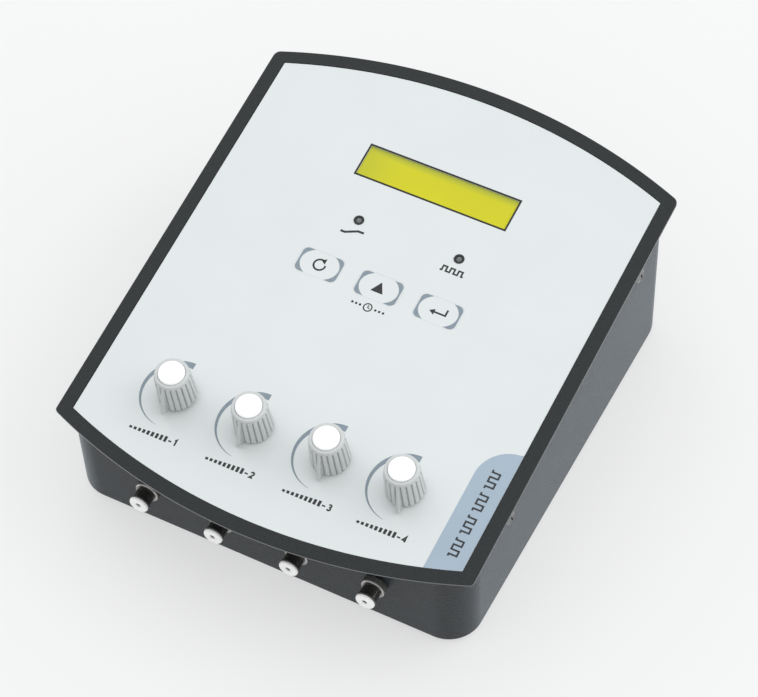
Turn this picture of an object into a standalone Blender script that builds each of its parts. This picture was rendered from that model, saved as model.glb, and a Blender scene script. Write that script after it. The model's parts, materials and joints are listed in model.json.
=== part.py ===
"""Desk-top four-channel nerve stimulator, modelled as its separate pieces.

World frame: metres, +Z up, front of the case towards -Y, origin on the table
under the middle of the case. The sloping front panel has its own frame, an
empty whose X runs to the right, Y up the panel and Z out of it; its origin is
the middle of the cover's upper face.
"""
import math

import bmesh
import bpy
from mathutils import Matrix, Vector

# ---------------------------------------------------------------- case sizes
GAP = 0.0003                    # clearance between pieces that touch
FOOT_HEIGHT = 0.0020
PANEL_TILT = math.radians(7.9)
PANEL_HEIGHT = 0.0597           # upper face of the cover, half way up the panel

COVER_HALF_WIDTH = 0.0858
COVER_BOW = 0.1033              # middle of the front and rear edges
BOW_RADIUS = 0.2345
BOW_STEPS = 20
COVER_FRONT_CORNER = 0.0012
COVER_REAR_CORNER = 0.0025
COVER_LIP = 0.0012              # thickness of the overhanging edge
COVER_THICKNESS = 0.0032        # thickness inside the base walls
COVER_EDGE = 0.0004             # rounding of the cover's upper edge

BASE_HALF_WIDTH = 0.0828        # at the floor, before the walls' draft
BASE_FRONT = -0.0871
BASE_REAR = 0.0860
BASE_CORNER = 0.0130
BASE_TOP = 0.0780               # walls are drawn this high, then cut to the slope
BASE_EDGE = 0.0015
BASE_WALL = 0.0024
BASE_FLOOR = 0.0025
WALL_DRAFT = 0.0070             # outward lean of the walls, metres a metre

# ------------------------------------------------------------ overlay and keys
OVERLAY_HALF_WIDTH = 0.0800
OVERLAY_BOW = 0.0976
OVERLAY_THICKNESS = 0.0004
OVERLAY_TOP = -0.0002           # a shade below the cover's face
RECESS_GAP = 0.00025

KEY_X = (-0.0250, 0.0000, 0.0248)
KEY_Y = 0.0078
KEY_WIDTH = 0.0178
KEY_DEPTH = 0.0106
KEY_CORNER = 0.0027
KEY_FLANGE = 0.0014             # the key's lip under the cover, beyond its top
KEY_TRAVEL = 0.0005

LAMP_X = (-0.0204, 0.0218)
LAMP_Y = 0.0312
LAMP_RADIUS = 0.00145
LAMP_COLLAR = 0.0021

WINDOW_CENTRE_Y = 0.0564
WINDOW_WIDTH = 0.0640
WINDOW_DEPTH = 0.0140

# ------------------------------------------------------------- intensity knobs
KNOB_X = (-0.0469, -0.0150, 0.0167, 0.0470)
KNOB_Y = -0.0629
KNOB_POINTER = (4.0, 7.0, -1.0, -12.0)   # degrees clockwise past straight down
KNOB_BASE_RADIUS = 0.0074
KNOB_TOP_RADIUS = 0.0065
KNOB_HEIGHT = 0.0151
KNOB_LIFT = 0.0006              # knob's lower edge above the overlay
KNOB_RAISE = (0.0010, 0.0, 0.0, 0.0)     # how far each knob stands up its shaft
KNOB_RING = 0.0015              # plain ring above the flutes
KNOB_FLUTES = 20
FLUTE_DEPTH = 0.00055
FIN_REACH = 0.0104
FIN_WIDTH = 0.0013
CAP_RADIUS = 0.0051
CAP_PROUD = 0.0008

SHAFT_RADIUS = 0.0030
BUSH_RADIUS = 0.0035
POT_RADIUS = 0.0080
POT_DEPTH = 0.0083

# ------------------------------------------------------------- output sockets
SOCKET_PITCH = 0.0314
SOCKET_MIDDLE = 0.0002
SOCKET_Z = 0.0240
SOCKET_REACH = 0.0095           # insulator's face in front of the wall
SOCKET_NECK = 0.0031
SOCKET_FACE = 0.0038
SOCKET_PIN_HOLE = 0.0016
SOCKET_NUT_RADIUS = 0.0049
SOCKET_NUT_DEPTH = 0.0031

# ------------------------------------------------------------ rear wall pieces
INLET_X = 0.0430
INLET_Z = 0.0260
INLET_CUTOUT = (0.0270, 0.0198)
INLET_MOUTH = (0.0240, 0.0160)
INLET_FLANGE = (0.0310, 0.0236)
INLET_DEPTH = 0.0200
SWITCH_X = 0.0050
SWITCH_Z = 0.0260
SWITCH_CUTOUT = (0.0192, 0.0132)
SWITCH_FLANGE = (0.0212, 0.0152)
ROCKER_SIZE = (0.0158, 0.0096)
ROCKER_TILT = math.radians(10.0)

# ----------------------------------------------------------------- fasteners
SCREW_Y = (-0.0520, 0.0574)
SCREW_DEPTH = 0.0095            # below the cover's face, along the panel normal
SCREW_HEAD = 0.0031
SCREW_CROWN = 0.0011            # height of the head
SCREW_SHANK = 0.0016
SCREW_LENGTH = 0.0085
FOOT_X = 0.0640
FOOT_Y = (-0.0690, 0.0680)
FOOT_RADIUS = 0.0070

# --------------------------------------------------------------- inside pieces
DISPLAY_FRAME = (0.0712, 0.0243)
DISPLAY_BOARD = (0.0800, 0.0360)
DISPLAY_DEPTH = 0.0056
BOARD_THICKNESS = 0.0016
CONTROL_BOARD_TOP = -0.0122     # below the cover's face
CONTROL_BOARD_X = 0.0700
CONTROL_BOARD_Y = (-0.0740, 0.0365)
TACT_SIZE = 0.0060
TACT_BODY = 0.0035
TACT_HEIGHT = 0.0050
SUPPLY_BOARD_CENTRE = (-0.0050, -0.0260)
SUPPLY_BOARD_SIZE = (0.1100, 0.0620)
STANDOFF_HEIGHT = 0.0060
TRANSFORMER_CENTRE = (-0.0470, 0.0440)
TRANSFORMER_SIZE = (0.0420, 0.0180, 0.0350)

COVER_UNDERSIDE = -COVER_THICKNESS
WALL_TOP = COVER_UNDERSIDE - GAP
FLOOR_TOP = FOOT_HEIGHT + BASE_FLOOR
CENTRE_Y = -0.5 * (COVER_LIP + COVER_EDGE) * math.sin(PANEL_TILT)

PALETTE = {
    # name: colour, roughness, metallic
    "case_plastic": ((0.045, 0.049, 0.052), 0.50, 0.0),
    "overlay_film": ((0.76, 0.82, 0.82), 0.42, 0.0),
    "clear_window": ((0.62, 0.64, 0.10), 0.08, 0.0),
    "knob_plastic": ((0.58, 0.58, 0.59), 0.45, 0.0),
    "cap_plastic": ((0.90, 0.90, 0.90), 0.25, 0.0),
    "lamp_resin": ((0.22, 0.23, 0.23), 0.30, 0.0),
    "black_plastic": ((0.02, 0.02, 0.02), 0.50, 0.0),
    "nickel": ((0.72, 0.70, 0.66), 0.22, 1.0),
    "white_nylon": ((0.88, 0.88, 0.86), 0.40, 0.0),
    "rubber": ((0.025, 0.025, 0.025), 0.85, 0.0),
    "display_glass": ((0.66, 0.66, 0.06), 0.15, 0.0),
    "circuit_board": ((0.03, 0.18, 0.07), 0.45, 0.0),
    "lamination": ((0.25, 0.25, 0.27), 0.45, 0.9),
    "winding_tape": ((0.70, 0.55, 0.12), 0.45, 0.0),
    "ribbon_cable": ((0.45, 0.46, 0.48), 0.55, 0.0),
}


# ------------------------------------------------------------------- scene set-up
def clear_scene():
    for item in list(bpy.data.objects):
        bpy.data.objects.remove(item, do_unlink=True)


def new_collection(name):
    collection = bpy.data.collections.new(name)
    bpy.context.scene.collection.children.link(collection)
    return collection


def make_materials():
    made = {}
    for name, (colour, roughness, metallic) in PALETTE.items():
        material = bpy.data.materials.new(name)
        material.use_nodes = True
        shader = material.node_tree.nodes["Principled BSDF"]
        shader.inputs["Base Color"].default_value = (*colour, 1.0)
        shader.inputs["Roughness"].default_value = roughness
        shader.inputs["Metallic"].default_value = metallic
        made[name] = material
    return made


clear_scene()
PARTS = new_collection("tens_unit")
CUTTERS = new_collection("cutters")
MATERIALS = make_materials()

panel = bpy.data.objects.new("panel_frame", None)
panel.location = (0.0, CENTRE_Y, PANEL_HEIGHT)
panel.rotation_euler = (PANEL_TILT, 0.0, 0.0)
PARTS.objects.link(panel)


# ------------------------------------------------------------------ outlines
def arc(centre, radius, start, end, steps):
    """Points along an arc in degrees, both ends included."""
    points = []
    for step in range(steps + 1):
        angle = math.radians(start + (end - start) * step / steps)
        points.append((centre[0] + radius * math.cos(angle), centre[1] + radius * math.sin(angle)))
    return points


def circle(radius, steps, centre=(0.0, 0.0)):
    return arc(centre, radius, 0.0, 360.0, steps)[:-1]


def rectangle(width, depth, centre=(0.0, 0.0)):
    x, y = 0.5 * width, 0.5 * depth
    return [(centre[0] + sx * x, centre[1] + sy * y) for sx, sy in ((-1, -1), (1, -1), (1, 1), (-1, 1))]


def rounded_rectangle(width, depth, radius, steps, centre=(0.0, 0.0)):
    x, y = 0.5 * width - radius, 0.5 * depth - radius
    points = []
    for sx, sy, start in ((1, -1, -90.0), (1, 1, 0.0), (-1, 1, 90.0), (-1, -1, 180.0)):
        corner = (centre[0] + sx * x, centre[1] + sy * y)
        points += arc(corner, radius, start, start + 90.0, steps)
    return points


def bowed_outline(half_width, bow, front_corner=0.0, rear_corner=0.0, steps=BOW_STEPS):
    """Straight sides with front and rear edges that bow outwards, corners rounded if asked."""
    bow_centre = BOW_RADIUS - bow
    half_angle = math.degrees(math.asin(half_width / BOW_RADIUS))
    front = arc((0.0, bow_centre), BOW_RADIUS, 270.0 - half_angle, 270.0 + half_angle, steps)
    rear = [(-x, -y) for x, y in front]
    radii = {0: front_corner, steps: front_corner, steps + 1: rear_corner, 2 * steps + 1: rear_corner}
    return round_corner_points(front + rear, radii)


def round_corner_points(points, radii, steps=4):
    """Replace the numbered corners of a closed outline with short curves of their own size."""
    rounded = []
    for index, point in enumerate(points):
        radius = radii.get(index, 0.0)
        if radius == 0.0:
            rounded.append(point)
            continue
        here = Vector(point)
        back = (Vector(points[index - 1]) - here).normalized() * radius
        ahead = (Vector(points[(index + 1) % len(points)]) - here).normalized() * radius
        for step in range(steps + 1):
            t = step / steps
            spot = (here + back) * (1 - t) ** 2 + here * 2 * t * (1 - t) + (here + ahead) * t ** 2
            rounded.append(tuple(spot))
    return rounded


# ------------------------------------------------------------------ mesh making
def finish_mesh(mesh, smooth_angle=35.0):
    mesh.shade_smooth()
    mesh.set_sharp_from_angle(angle=math.radians(smooth_angle))
    return mesh


def mesh_from(bm, name):
    bmesh.ops.recalc_face_normals(bm, faces=bm.faces)
    mesh = bpy.data.meshes.new(name)
    bm.to_mesh(mesh)
    bm.free()
    return finish_mesh(mesh)


def prism(outline, low, high, top_scale=1.0, top_edge=0.0, bottom_edge=0.0):
    """A straight or tapered block over an outline, its rims rounded if asked."""
    bm = bmesh.new()
    floor = bm.faces.new([bm.verts.new((x, y, low)) for x, y in outline])
    raised = bmesh.ops.extrude_face_region(bm, geom=[floor])["geom"]
    upper = [item for item in raised if isinstance(item, bmesh.types.BMVert)]
    for vertex in upper:
        vertex.co = Vector((vertex.co.x * top_scale, vertex.co.y * top_scale, high))
    bmesh.ops.recalc_face_normals(bm, faces=bm.faces)
    for height, width in ((high, top_edge), (low, bottom_edge)):
        if width:
            rim = [edge for edge in bm.edges if all(abs(v.co.z - height) < 1e-6 for v in edge.verts)]
            bmesh.ops.bevel(bm, geom=rim, offset=width, segments=2, profile=0.5, affect="EDGES")
    return mesh_from(bm, "prism")


def prisms(outlines, low, high):
    """Several separate straight blocks in one mesh, for cutting or joining."""
    bm = bmesh.new()
    for outline in outlines:
        bottom = bm.faces.new([bm.verts.new((x, y, low)) for x, y in outline])
        raised = bmesh.ops.extrude_face_region(bm, geom=[bottom])["geom"]
        for item in raised:
            if isinstance(item, bmesh.types.BMVert):
                item.co.z = high
    return mesh_from(bm, "prisms")


def turned(profile, steps, ring=False):
    """Turn a profile of (radius, height) about Z; it runs down the outer side."""
    mesh = bpy.data.meshes.new("turned")
    edges = [(index, index + 1) for index in range(len(profile) - 1)]
    if ring:
        edges.append((len(profile) - 1, 0))
    mesh.from_pydata([(radius, 0.0, height) for radius, height in profile], edges, [])
    worker = bpy.data.objects.new("turned", mesh)
    CUTTERS.objects.link(worker)
    screw = worker.modifiers.new("turn", "SCREW")
    screw.steps = steps
    screw.render_steps = steps
    screw.use_merge_vertices = True
    screw.merge_threshold = 0.00001
    return finish_mesh(freeze(worker))


def freeze(worker):
    """The finished mesh of a working object; the object itself goes away."""
    bpy.context.view_layer.update()
    graph = bpy.context.evaluated_depsgraph_get()
    mesh = bpy.data.meshes.new_from_object(worker.evaluated_get(graph))
    bpy.data.objects.remove(worker, do_unlink=True)
    return mesh


def moved(mesh, location=(0.0, 0.0, 0.0), rotation=None):
    """The same mesh, shifted and turned in place."""
    matrix = Matrix.Translation(location)
    if rotation is not None:
        matrix = matrix @ rotation
    mesh.transform(matrix)
    return mesh


def cutter(mesh, name):
    item = bpy.data.objects.new(name, mesh)
    item.hide_render = True
    item.display_type = "WIRE"
    CUTTERS.objects.link(item)
    return item


def add_boolean(target, tool, operation):
    step = target.modifiers.new(tool.name, "BOOLEAN")
    step.operation = operation
    step.solver = "EXACT"
    step.object = tool
    return step


def built(mesh, steps):
    """Run (operation, mesh) steps on a mesh and return the finished mesh."""
    worker = bpy.data.objects.new("built", mesh)
    CUTTERS.objects.link(worker)
    tools = []
    for operation, tool_mesh in steps:
        tool = cutter(tool_mesh, "tool")
        add_boolean(worker, tool, operation)
        tools.append(tool)
    result = freeze(worker)
    for tool in tools:
        bpy.data.objects.remove(tool, do_unlink=True)
    return finish_mesh(result)


def place(name, mesh, material, location=(0.0, 0.0, 0.0), rotation=(0.0, 0.0, 0.0), parent=None):
    """Put a piece in the parts collection under its own name."""
    item = bpy.data.objects.new(name, mesh)
    if not mesh.materials:
        mesh.materials.append(MATERIALS[material])
    item.location = location
    item.rotation_euler = rotation
    item.parent = parent
    PARTS.objects.link(item)
    return item


# ------------------------------------------------------------------ base shell
def wall_x(height):
    """Outer face of the side walls at a height."""
    return BASE_HALF_WIDTH + WALL_DRAFT * (height - FOOT_HEIGHT)


def socket_x(index):
    return SOCKET_MIDDLE + SOCKET_PITCH * (index - 1.5)


def panel_point(x, y, depth):
    """World place of a panel point; depth is measured out of the cover's face."""
    turn = Matrix.Rotation(PANEL_TILT, 3, "X")
    return Vector((x, CENTRE_Y, PANEL_HEIGHT)) + turn @ Vector((0.0, y, depth))


def along_panel(world_y, depth):
    """Distance up the panel of a line through a world Y at a given depth."""
    return (world_y - CENTRE_Y + depth * math.sin(PANEL_TILT)) / math.cos(PANEL_TILT)


def base_outline(inset=0.0):
    width = 2.0 * (BASE_HALF_WIDTH - inset)
    depth = BASE_REAR - BASE_FRONT - 2.0 * inset
    return rounded_rectangle(width, depth, BASE_CORNER - inset, 7)


def screw_height(world_y):
    return panel_point(0.0, along_panel(world_y, -SCREW_DEPTH), -SCREW_DEPTH).z


def make_base_shell():
    middle = 0.5 * (BASE_FRONT + BASE_REAR)
    height = BASE_TOP - FOOT_HEIGHT
    spread = 1.0 + WALL_DRAFT * height / BASE_HALF_WIDTH
    body = prism(base_outline(), FOOT_HEIGHT, BASE_TOP, top_scale=spread, bottom_edge=BASE_EDGE)
    hollow = prism(base_outline(BASE_WALL), FLOOR_TOP, BASE_TOP + 0.002, top_scale=spread)
    board_x, board_y = SUPPLY_BOARD_CENTRE
    half_x, half_y = 0.5 * SUPPLY_BOARD_SIZE[0] - 0.005, 0.5 * SUPPLY_BOARD_SIZE[1] - 0.005
    posts = []
    for side_x in (-1, 1):
        for side_y in (-1, 1):
            post = (board_x + side_x * half_x, board_y - middle + side_y * half_y)
            posts.append(circle(0.003, 12, post))
    standoffs = prisms(posts, FOOT_HEIGHT + 0.5 * BASE_FLOOR, FLOOR_TOP + STANDOFF_HEIGHT)
    slope = prism(rectangle(0.30, 0.30), WALL_TOP, 0.10)
    moved(slope, (0.0, CENTRE_Y - middle, PANEL_HEIGHT), Matrix.Rotation(PANEL_TILT, 4, "X"))
    base = place("base_shell", body, "case_plastic", location=(0.0, middle, 0.0))
    steps = (
        ("base_hollow", hollow, "DIFFERENCE"),
        ("base_standoffs", standoffs, "UNION"),
        ("base_slope", slope, "DIFFERENCE"),
        ("base_openings", base_openings(middle), "DIFFERENCE"),
    )
    for name, mesh, operation in steps:
        tool = cutter(mesh, name)
        tool.location = (0.0, middle, 0.0)
        add_boolean(base, tool, operation)


def base_openings(middle):
    """Holes for feet, sockets, screws, inlet and switch, in one cutting mesh."""
    bm = bmesh.new()
    pieces = []
    for x in (-FOOT_X, FOOT_X):
        for y in FOOT_Y:
            pieces.append(moved(prism(circle(0.0028, 16), 0.0, 0.010), (x, y - middle, 0.0)))
    forward = Matrix.Rotation(math.radians(90.0), 4, "X")
    sideways = Matrix.Rotation(math.radians(90.0), 4, "Y")
    for index in range(4):
        hole = prism(circle(SOCKET_NECK + GAP, 16), -0.006, 0.006)
        pieces.append(moved(hole, (socket_x(index), BASE_FRONT - middle, SOCKET_Z), forward))
    for side in (-1, 1):
        for y in SCREW_Y:
            hole = prism(circle(SCREW_SHANK + GAP, 12), -0.006, 0.006)
            centre = (side * BASE_HALF_WIDTH, y - middle, screw_height(y))
            pieces.append(moved(hole, centre, sideways))
    for size, x, z in ((INLET_CUTOUT, INLET_X, INLET_Z), (SWITCH_CUTOUT, SWITCH_X, SWITCH_Z)):
        grown = rectangle(size[0] + 2 * GAP, size[1] + 2 * GAP)
        pieces.append(moved(prism(grown, -0.006, 0.006), (x, BASE_REAR - middle, z), forward))
    for mesh in pieces:
        bm.from_mesh(mesh)
    return mesh_from(bm, "base_openings")


# ------------------------------------------------------------------- top cover
def seat_outline(inset, depth):
    """The base's outline seen along the panel, pulled in by an inset."""
    front = along_panel(BASE_FRONT + inset, depth)
    rear = along_panel(BASE_REAR - inset, depth)
    width = 2.0 * (BASE_HALF_WIDTH - inset)
    centre = (0.0, 0.5 * (front + rear))
    return rounded_rectangle(width, rear - front, BASE_CORNER - inset, 7, centre)


def key_opening(x):
    return rounded_rectangle(KEY_WIDTH + 2 * GAP, KEY_DEPTH + 2 * GAP, KEY_CORNER, 3, (x, KEY_Y))


def panel_holes():
    """Openings shared by the overlay and the cover."""
    outlines = [rectangle(WINDOW_WIDTH, WINDOW_DEPTH, (0.0, WINDOW_CENTRE_Y))]
    outlines += [key_opening(x) for x in KEY_X]
    outlines += [circle(BUSH_RADIUS + GAP, 16, (x, KNOB_Y)) for x in KNOB_X]
    outlines += [circle(LAMP_COLLAR - 0.0001, 14, (x, LAMP_Y)) for x in LAMP_X]
    return outlines


def make_top_cover():
    outline = bowed_outline(COVER_HALF_WIDTH, COVER_BOW, COVER_FRONT_CORNER, COVER_REAR_CORNER)
    plate = prism(outline, -COVER_LIP, 0.0, top_edge=COVER_EDGE)
    seat = prism(seat_outline(0.0006, -COVER_LIP), COVER_UNDERSIDE, -0.5 * COVER_LIP)
    tongue_low = -0.0070
    tongue = prism(seat_outline(BASE_WALL + 0.0008, -0.004), tongue_low, COVER_UNDERSIDE + 0.001)
    hollow = prism(seat_outline(BASE_WALL + 0.0028, -0.004), tongue_low - 0.001, COVER_UNDERSIDE)
    lug_low = -(SCREW_DEPTH + 0.0045)
    lugs = []
    for side in (-1, 1):
        for y in SCREW_Y:
            lugs.append(rectangle(0.0045, 0.0110, (side * 0.0777, along_panel(y, -SCREW_DEPTH))))
    recess_width = OVERLAY_HALF_WIDTH + RECESS_GAP
    recess_floor = OVERLAY_TOP - OVERLAY_THICKNESS - 0.0001
    recess = prism(bowed_outline(recess_width, OVERLAY_BOW + RECESS_GAP), recess_floor, 0.005)
    screw_holes = bmesh.new()
    for side in (-1, 1):
        for y in SCREW_Y:
            hole = prism(circle(SCREW_SHANK + GAP, 12), -0.008, 0.004)
            turn = Matrix.Rotation(math.radians(90.0 * side), 4, "Y")
            moved(hole, (side * 0.0790, along_panel(y, -SCREW_DEPTH), -SCREW_DEPTH), turn)
            screw_holes.from_mesh(hole)
    cover = place("top_cover", plate, "case_plastic", parent=panel)
    steps = (
        ("cover_seat", seat, "UNION"),
        ("cover_tongue", tongue, "UNION"),
        ("cover_hollow", hollow, "DIFFERENCE"),
        ("cover_lugs", prisms(lugs, lug_low, COVER_UNDERSIDE + 0.0008), "UNION"),
        ("cover_recess", recess, "DIFFERENCE"),
        ("cover_holes", prisms(panel_holes(), -0.010, 0.005), "DIFFERENCE"),
        ("cover_screw_holes", mesh_from(screw_holes, "cover_screw_holes"), "DIFFERENCE"),
    )
    for name, mesh, operation in steps:
        tool = cutter(mesh, name)
        tool.parent = panel
        add_boolean(cover, tool, operation)


def make_front_overlay():
    low = OVERLAY_TOP - OVERLAY_THICKNESS
    film = prism(bowed_outline(OVERLAY_HALF_WIDTH, OVERLAY_BOW), low, OVERLAY_TOP)
    overlay = place("front_overlay", film, "overlay_film", parent=panel)
    tool = cutter(prisms(panel_holes(), -0.006, 0.004), "overlay_holes")
    tool.parent = panel
    add_boolean(overlay, tool, "DIFFERENCE")


# ------------------------------------------------------------- keys and lamps
def key_mesh():
    """A key seen from above: its face, its retaining lip and its plunger."""
    lip_top = COVER_UNDERSIDE - GAP
    lip_low = lip_top - 0.0010
    plunger_low = CONTROL_BOARD_TOP + TACT_HEIGHT + KEY_TRAVEL + 0.0001
    face = prism(rounded_rectangle(KEY_WIDTH, KEY_DEPTH, KEY_CORNER, 3), lip_top - 0.0005, OVERLAY_TOP)
    width, depth = KEY_WIDTH + 2 * KEY_FLANGE, KEY_DEPTH + 2 * KEY_FLANGE
    lip = prism(rounded_rectangle(width, depth, KEY_CORNER, 3), lip_low, lip_top)
    plunger = prism(circle(0.0017, 14), plunger_low, lip_low + 0.0005)
    return built(face, [("UNION", lip), ("UNION", plunger)])


def make_keys():
    mesh = key_mesh()
    for name, x in zip(("key_reset", "key_time", "key_enter"), KEY_X):
        place(name, mesh, "overlay_film", location=(x, KEY_Y, 0.0), parent=panel)


def make_lamps():
    dome = LAMP_RADIUS
    dome_base = -0.0014
    foot = -0.0052
    profile = [(0.0, dome_base + dome)]
    for angle in (65.0, 40.0, 15.0):
        radius = dome * math.cos(math.radians(angle))
        profile.append((radius, dome_base + dome * math.sin(math.radians(angle))))
    profile += [(dome, dome_base), (dome, foot + 0.0008), (dome + 0.0002, foot + 0.0008)]
    profile += [(dome + 0.0002, foot), (0.0, foot)]
    leads = prisms([rectangle(0.0005, 0.0005, (x, 0.0)) for x in (-0.00127, 0.00127)],
                   CONTROL_BOARD_TOP + GAP, foot + 0.0005)
    lamp = built(turned(profile, 12), [("UNION", leads)])
    flange_top = OVERLAY_TOP + 0.0003
    tube = LAMP_COLLAR - 0.0003
    collar = [(LAMP_COLLAR + 0.0001, flange_top), (LAMP_COLLAR + 0.0001, OVERLAY_TOP + 0.00005),
              (tube, OVERLAY_TOP + 0.00005), (tube, -0.0042), (tube - 0.0002, -0.0042),
              (tube - 0.0002, -0.0008), (LAMP_RADIUS - 0.0001, -0.0004), (LAMP_RADIUS - 0.0001, flange_top)]
    collar_mesh = turned(collar, 14, ring=True)
    for name, x in zip(("ramp", "pulse"), LAMP_X):
        place(name + "_lamp", lamp, "lamp_resin", location=(x, LAMP_Y, 0.0), parent=panel)
        place(name + "_lamp_collar", collar_mesh, "black_plastic", location=(x, LAMP_Y, 0.0), parent=panel)


# ------------------------------------------------------------- intensity knobs
def fluted_outline(radius):
    """Wide flat ribs with narrow grooves between them."""
    points = []
    pitch = 360.0 / KNOB_FLUTES
    for rib in range(KNOB_FLUTES):
        start = rib * pitch - 90.0 + 0.5 * pitch
        for share, depth in ((0.0, FLUTE_DEPTH), (0.10, 0.0), (0.76, 0.0), (0.86, FLUTE_DEPTH)):
            angle = math.radians(start + share * pitch)
            reach = radius - depth
            points.append((reach * math.cos(angle), reach * math.sin(angle)))
    return points


def knob_mesh():
    """Knob with its pointer straight down the panel; its origin is on the shaft axis."""
    flute_top = KNOB_HEIGHT - KNOB_RING
    taper = (KNOB_TOP_RADIUS + 0.0001) / KNOB_BASE_RADIUS
    body = prism(fluted_outline(KNOB_BASE_RADIUS), 0.0, flute_top, top_scale=taper)
    ring = turned([(0.0, KNOB_HEIGHT), (KNOB_TOP_RADIUS - 0.0005, KNOB_HEIGHT),
                   (KNOB_TOP_RADIUS, KNOB_HEIGHT - 0.0005), (KNOB_TOP_RADIUS, flute_top - 0.0002),
                   (0.0, flute_top - 0.0002)], 28)
    fin_side = [(-0.0055, 0.0), (-FIN_REACH, 0.0), (-FIN_REACH, 0.0006), (-0.0068, flute_top - 0.0012),
                (-0.0055, flute_top - 0.0012)]
    fin = prism(fin_side, -0.5 * FIN_WIDTH, 0.5 * FIN_WIDTH)
    stand_up = Matrix(((0, 0, 1, 0), (1, 0, 0, 0), (0, 1, 0, 0), (0, 0, 0, 1)))
    fin.transform(stand_up)
    nut_room = prism(circle(0.0062, 18), -0.001, 0.0042)
    bore_radius, bore_top = SHAFT_RADIUS + GAP, 0.0125
    bore = turned([(0.0, bore_top), (bore_radius, bore_top), (bore_radius, 0.003), (0.0, 0.003)], 16)
    cap_seat = turned([(0.0, KNOB_HEIGHT + 0.001), (CAP_RADIUS + 0.0001, KNOB_HEIGHT + 0.001),
                       (CAP_RADIUS + 0.0001, KNOB_HEIGHT - 0.0011), (0.0, KNOB_HEIGHT - 0.0011)], 24)
    return built(body, [("UNION", ring), ("UNION", fin), ("DIFFERENCE", nut_room),
                        ("DIFFERENCE", bore), ("DIFFERENCE", cap_seat)])


def cap_mesh():
    low, high = KNOB_HEIGHT - 0.0008, KNOB_HEIGHT + CAP_PROUD
    radius = CAP_RADIUS - 0.0001
    return turned([(0.0, high), (radius - 0.0008, high - 0.0001), (radius, high - 0.0007),
                   (radius, low), (0.0, low)], 24)


def shaft_mesh():
    """Round shaft with the flat that keeps the knob from slipping."""
    bottom, top = -0.0015, 0.0118
    rod = turned([(0.0, top), (SHAFT_RADIUS - 0.0003, top), (SHAFT_RADIUS, top - 0.0003),
                  (SHAFT_RADIUS, bottom), (0.0, bottom)], 16)
    flat = moved(prism(rectangle(0.010, 0.004), 0.0035, 0.020), (0.0, 0.0036, 0.0))
    return built(rod, [("DIFFERENCE", flat)])


def potentiometer_mesh():
    """Can, threaded bush and hexagon nut; heights are from the cover's face."""
    can_top = COVER_UNDERSIDE - GAP
    bush_top = OVERLAY_TOP + 0.0034
    profile = [(0.0, bush_top), (BUSH_RADIUS, bush_top), (BUSH_RADIUS, can_top),
               (POT_RADIUS - 0.0004, can_top), (POT_RADIUS, can_top - 0.0004),
               (POT_RADIUS, can_top - POT_DEPTH), (0.0, can_top - POT_DEPTH)]
    nut = prism(circle(0.0056, 6), OVERLAY_TOP + GAP, OVERLAY_TOP + GAP + 0.0022)
    well = turned([(0.0, bush_top + 0.001), (SHAFT_RADIUS + 0.0002, bush_top + 0.001),
                   (SHAFT_RADIUS + 0.0002, bush_top - 0.0058), (0.0, bush_top - 0.0058)], 16)
    return built(turned(profile, 20), [("UNION", nut), ("DIFFERENCE", well)])


def make_knobs():
    knob, cap, shaft, pot = knob_mesh(), cap_mesh(), shaft_mesh(), potentiometer_mesh()
    for index, (x, degrees, raised) in enumerate(zip(KNOB_X, KNOB_POINTER, KNOB_RAISE), start=1):
        turn = (0.0, 0.0, -math.radians(degrees))
        spot = (x, KNOB_Y, OVERLAY_TOP + KNOB_LIFT + raised)
        place(f"intensity_knob_{index}", knob, "knob_plastic", spot, turn, panel)
        place(f"knob_cap_{index}", cap, "cap_plastic", spot, turn, panel)
        place(f"potentiometer_shaft_{index}", shaft, "nickel", spot, turn, panel)
        place(f"potentiometer_{index}", pot, "lamination", (x, KNOB_Y, 0.0), parent=panel)


# ------------------------------------------------------------- output sockets
def make_sockets():
    """Local Z points out of the front wall; zero is the wall's outer face."""
    flange_top = SOCKET_REACH - 0.0012
    inside_end = -(BASE_WALL + 0.0050)
    body = [(SOCKET_FACE + 0.0001, flange_top), (SOCKET_FACE + 0.0001, flange_top - 0.0008),
            (SOCKET_NECK, flange_top - 0.0013), (SOCKET_NECK, inside_end), (0.0026, inside_end),
            (0.0026, flange_top)]
    stem_end = inside_end - 0.0010
    insulator = [(SOCKET_FACE - 0.0005, SOCKET_REACH), (SOCKET_FACE, SOCKET_REACH - 0.0005),
                 (SOCKET_FACE, flange_top + GAP), (0.0023, flange_top + GAP), (0.0023, stem_end),
                 (SOCKET_PIN_HOLE, stem_end), (SOCKET_PIN_HOLE, SOCKET_REACH - 0.0003),
                 (SOCKET_PIN_HOLE + 0.0003, SOCKET_REACH)]
    nut_outer, nut_inner = SOCKET_NUT_RADIUS, SOCKET_NECK + 0.0002
    nut = [(nut_outer - 0.0004, SOCKET_NUT_DEPTH + GAP), (nut_outer, SOCKET_NUT_DEPTH - 0.0001),
           (nut_outer, GAP), (nut_inner, GAP), (nut_inner, SOCKET_NUT_DEPTH + GAP)]
    meshes = (("output_socket", turned(body, 18, ring=True), "nickel"),
              ("socket_insulator", turned(insulator, 16, ring=True), "white_nylon"),
              ("socket_nut", turned(nut, 20, ring=True), "nickel"))
    for index in range(4):
        spot = (socket_x(index), BASE_FRONT - WALL_DRAFT * SOCKET_Z, SOCKET_Z)
        for name, mesh, material in meshes:
            place(f"{name}_{index + 1}", mesh, material, spot, (math.radians(90.0), 0.0, 0.0))


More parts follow.
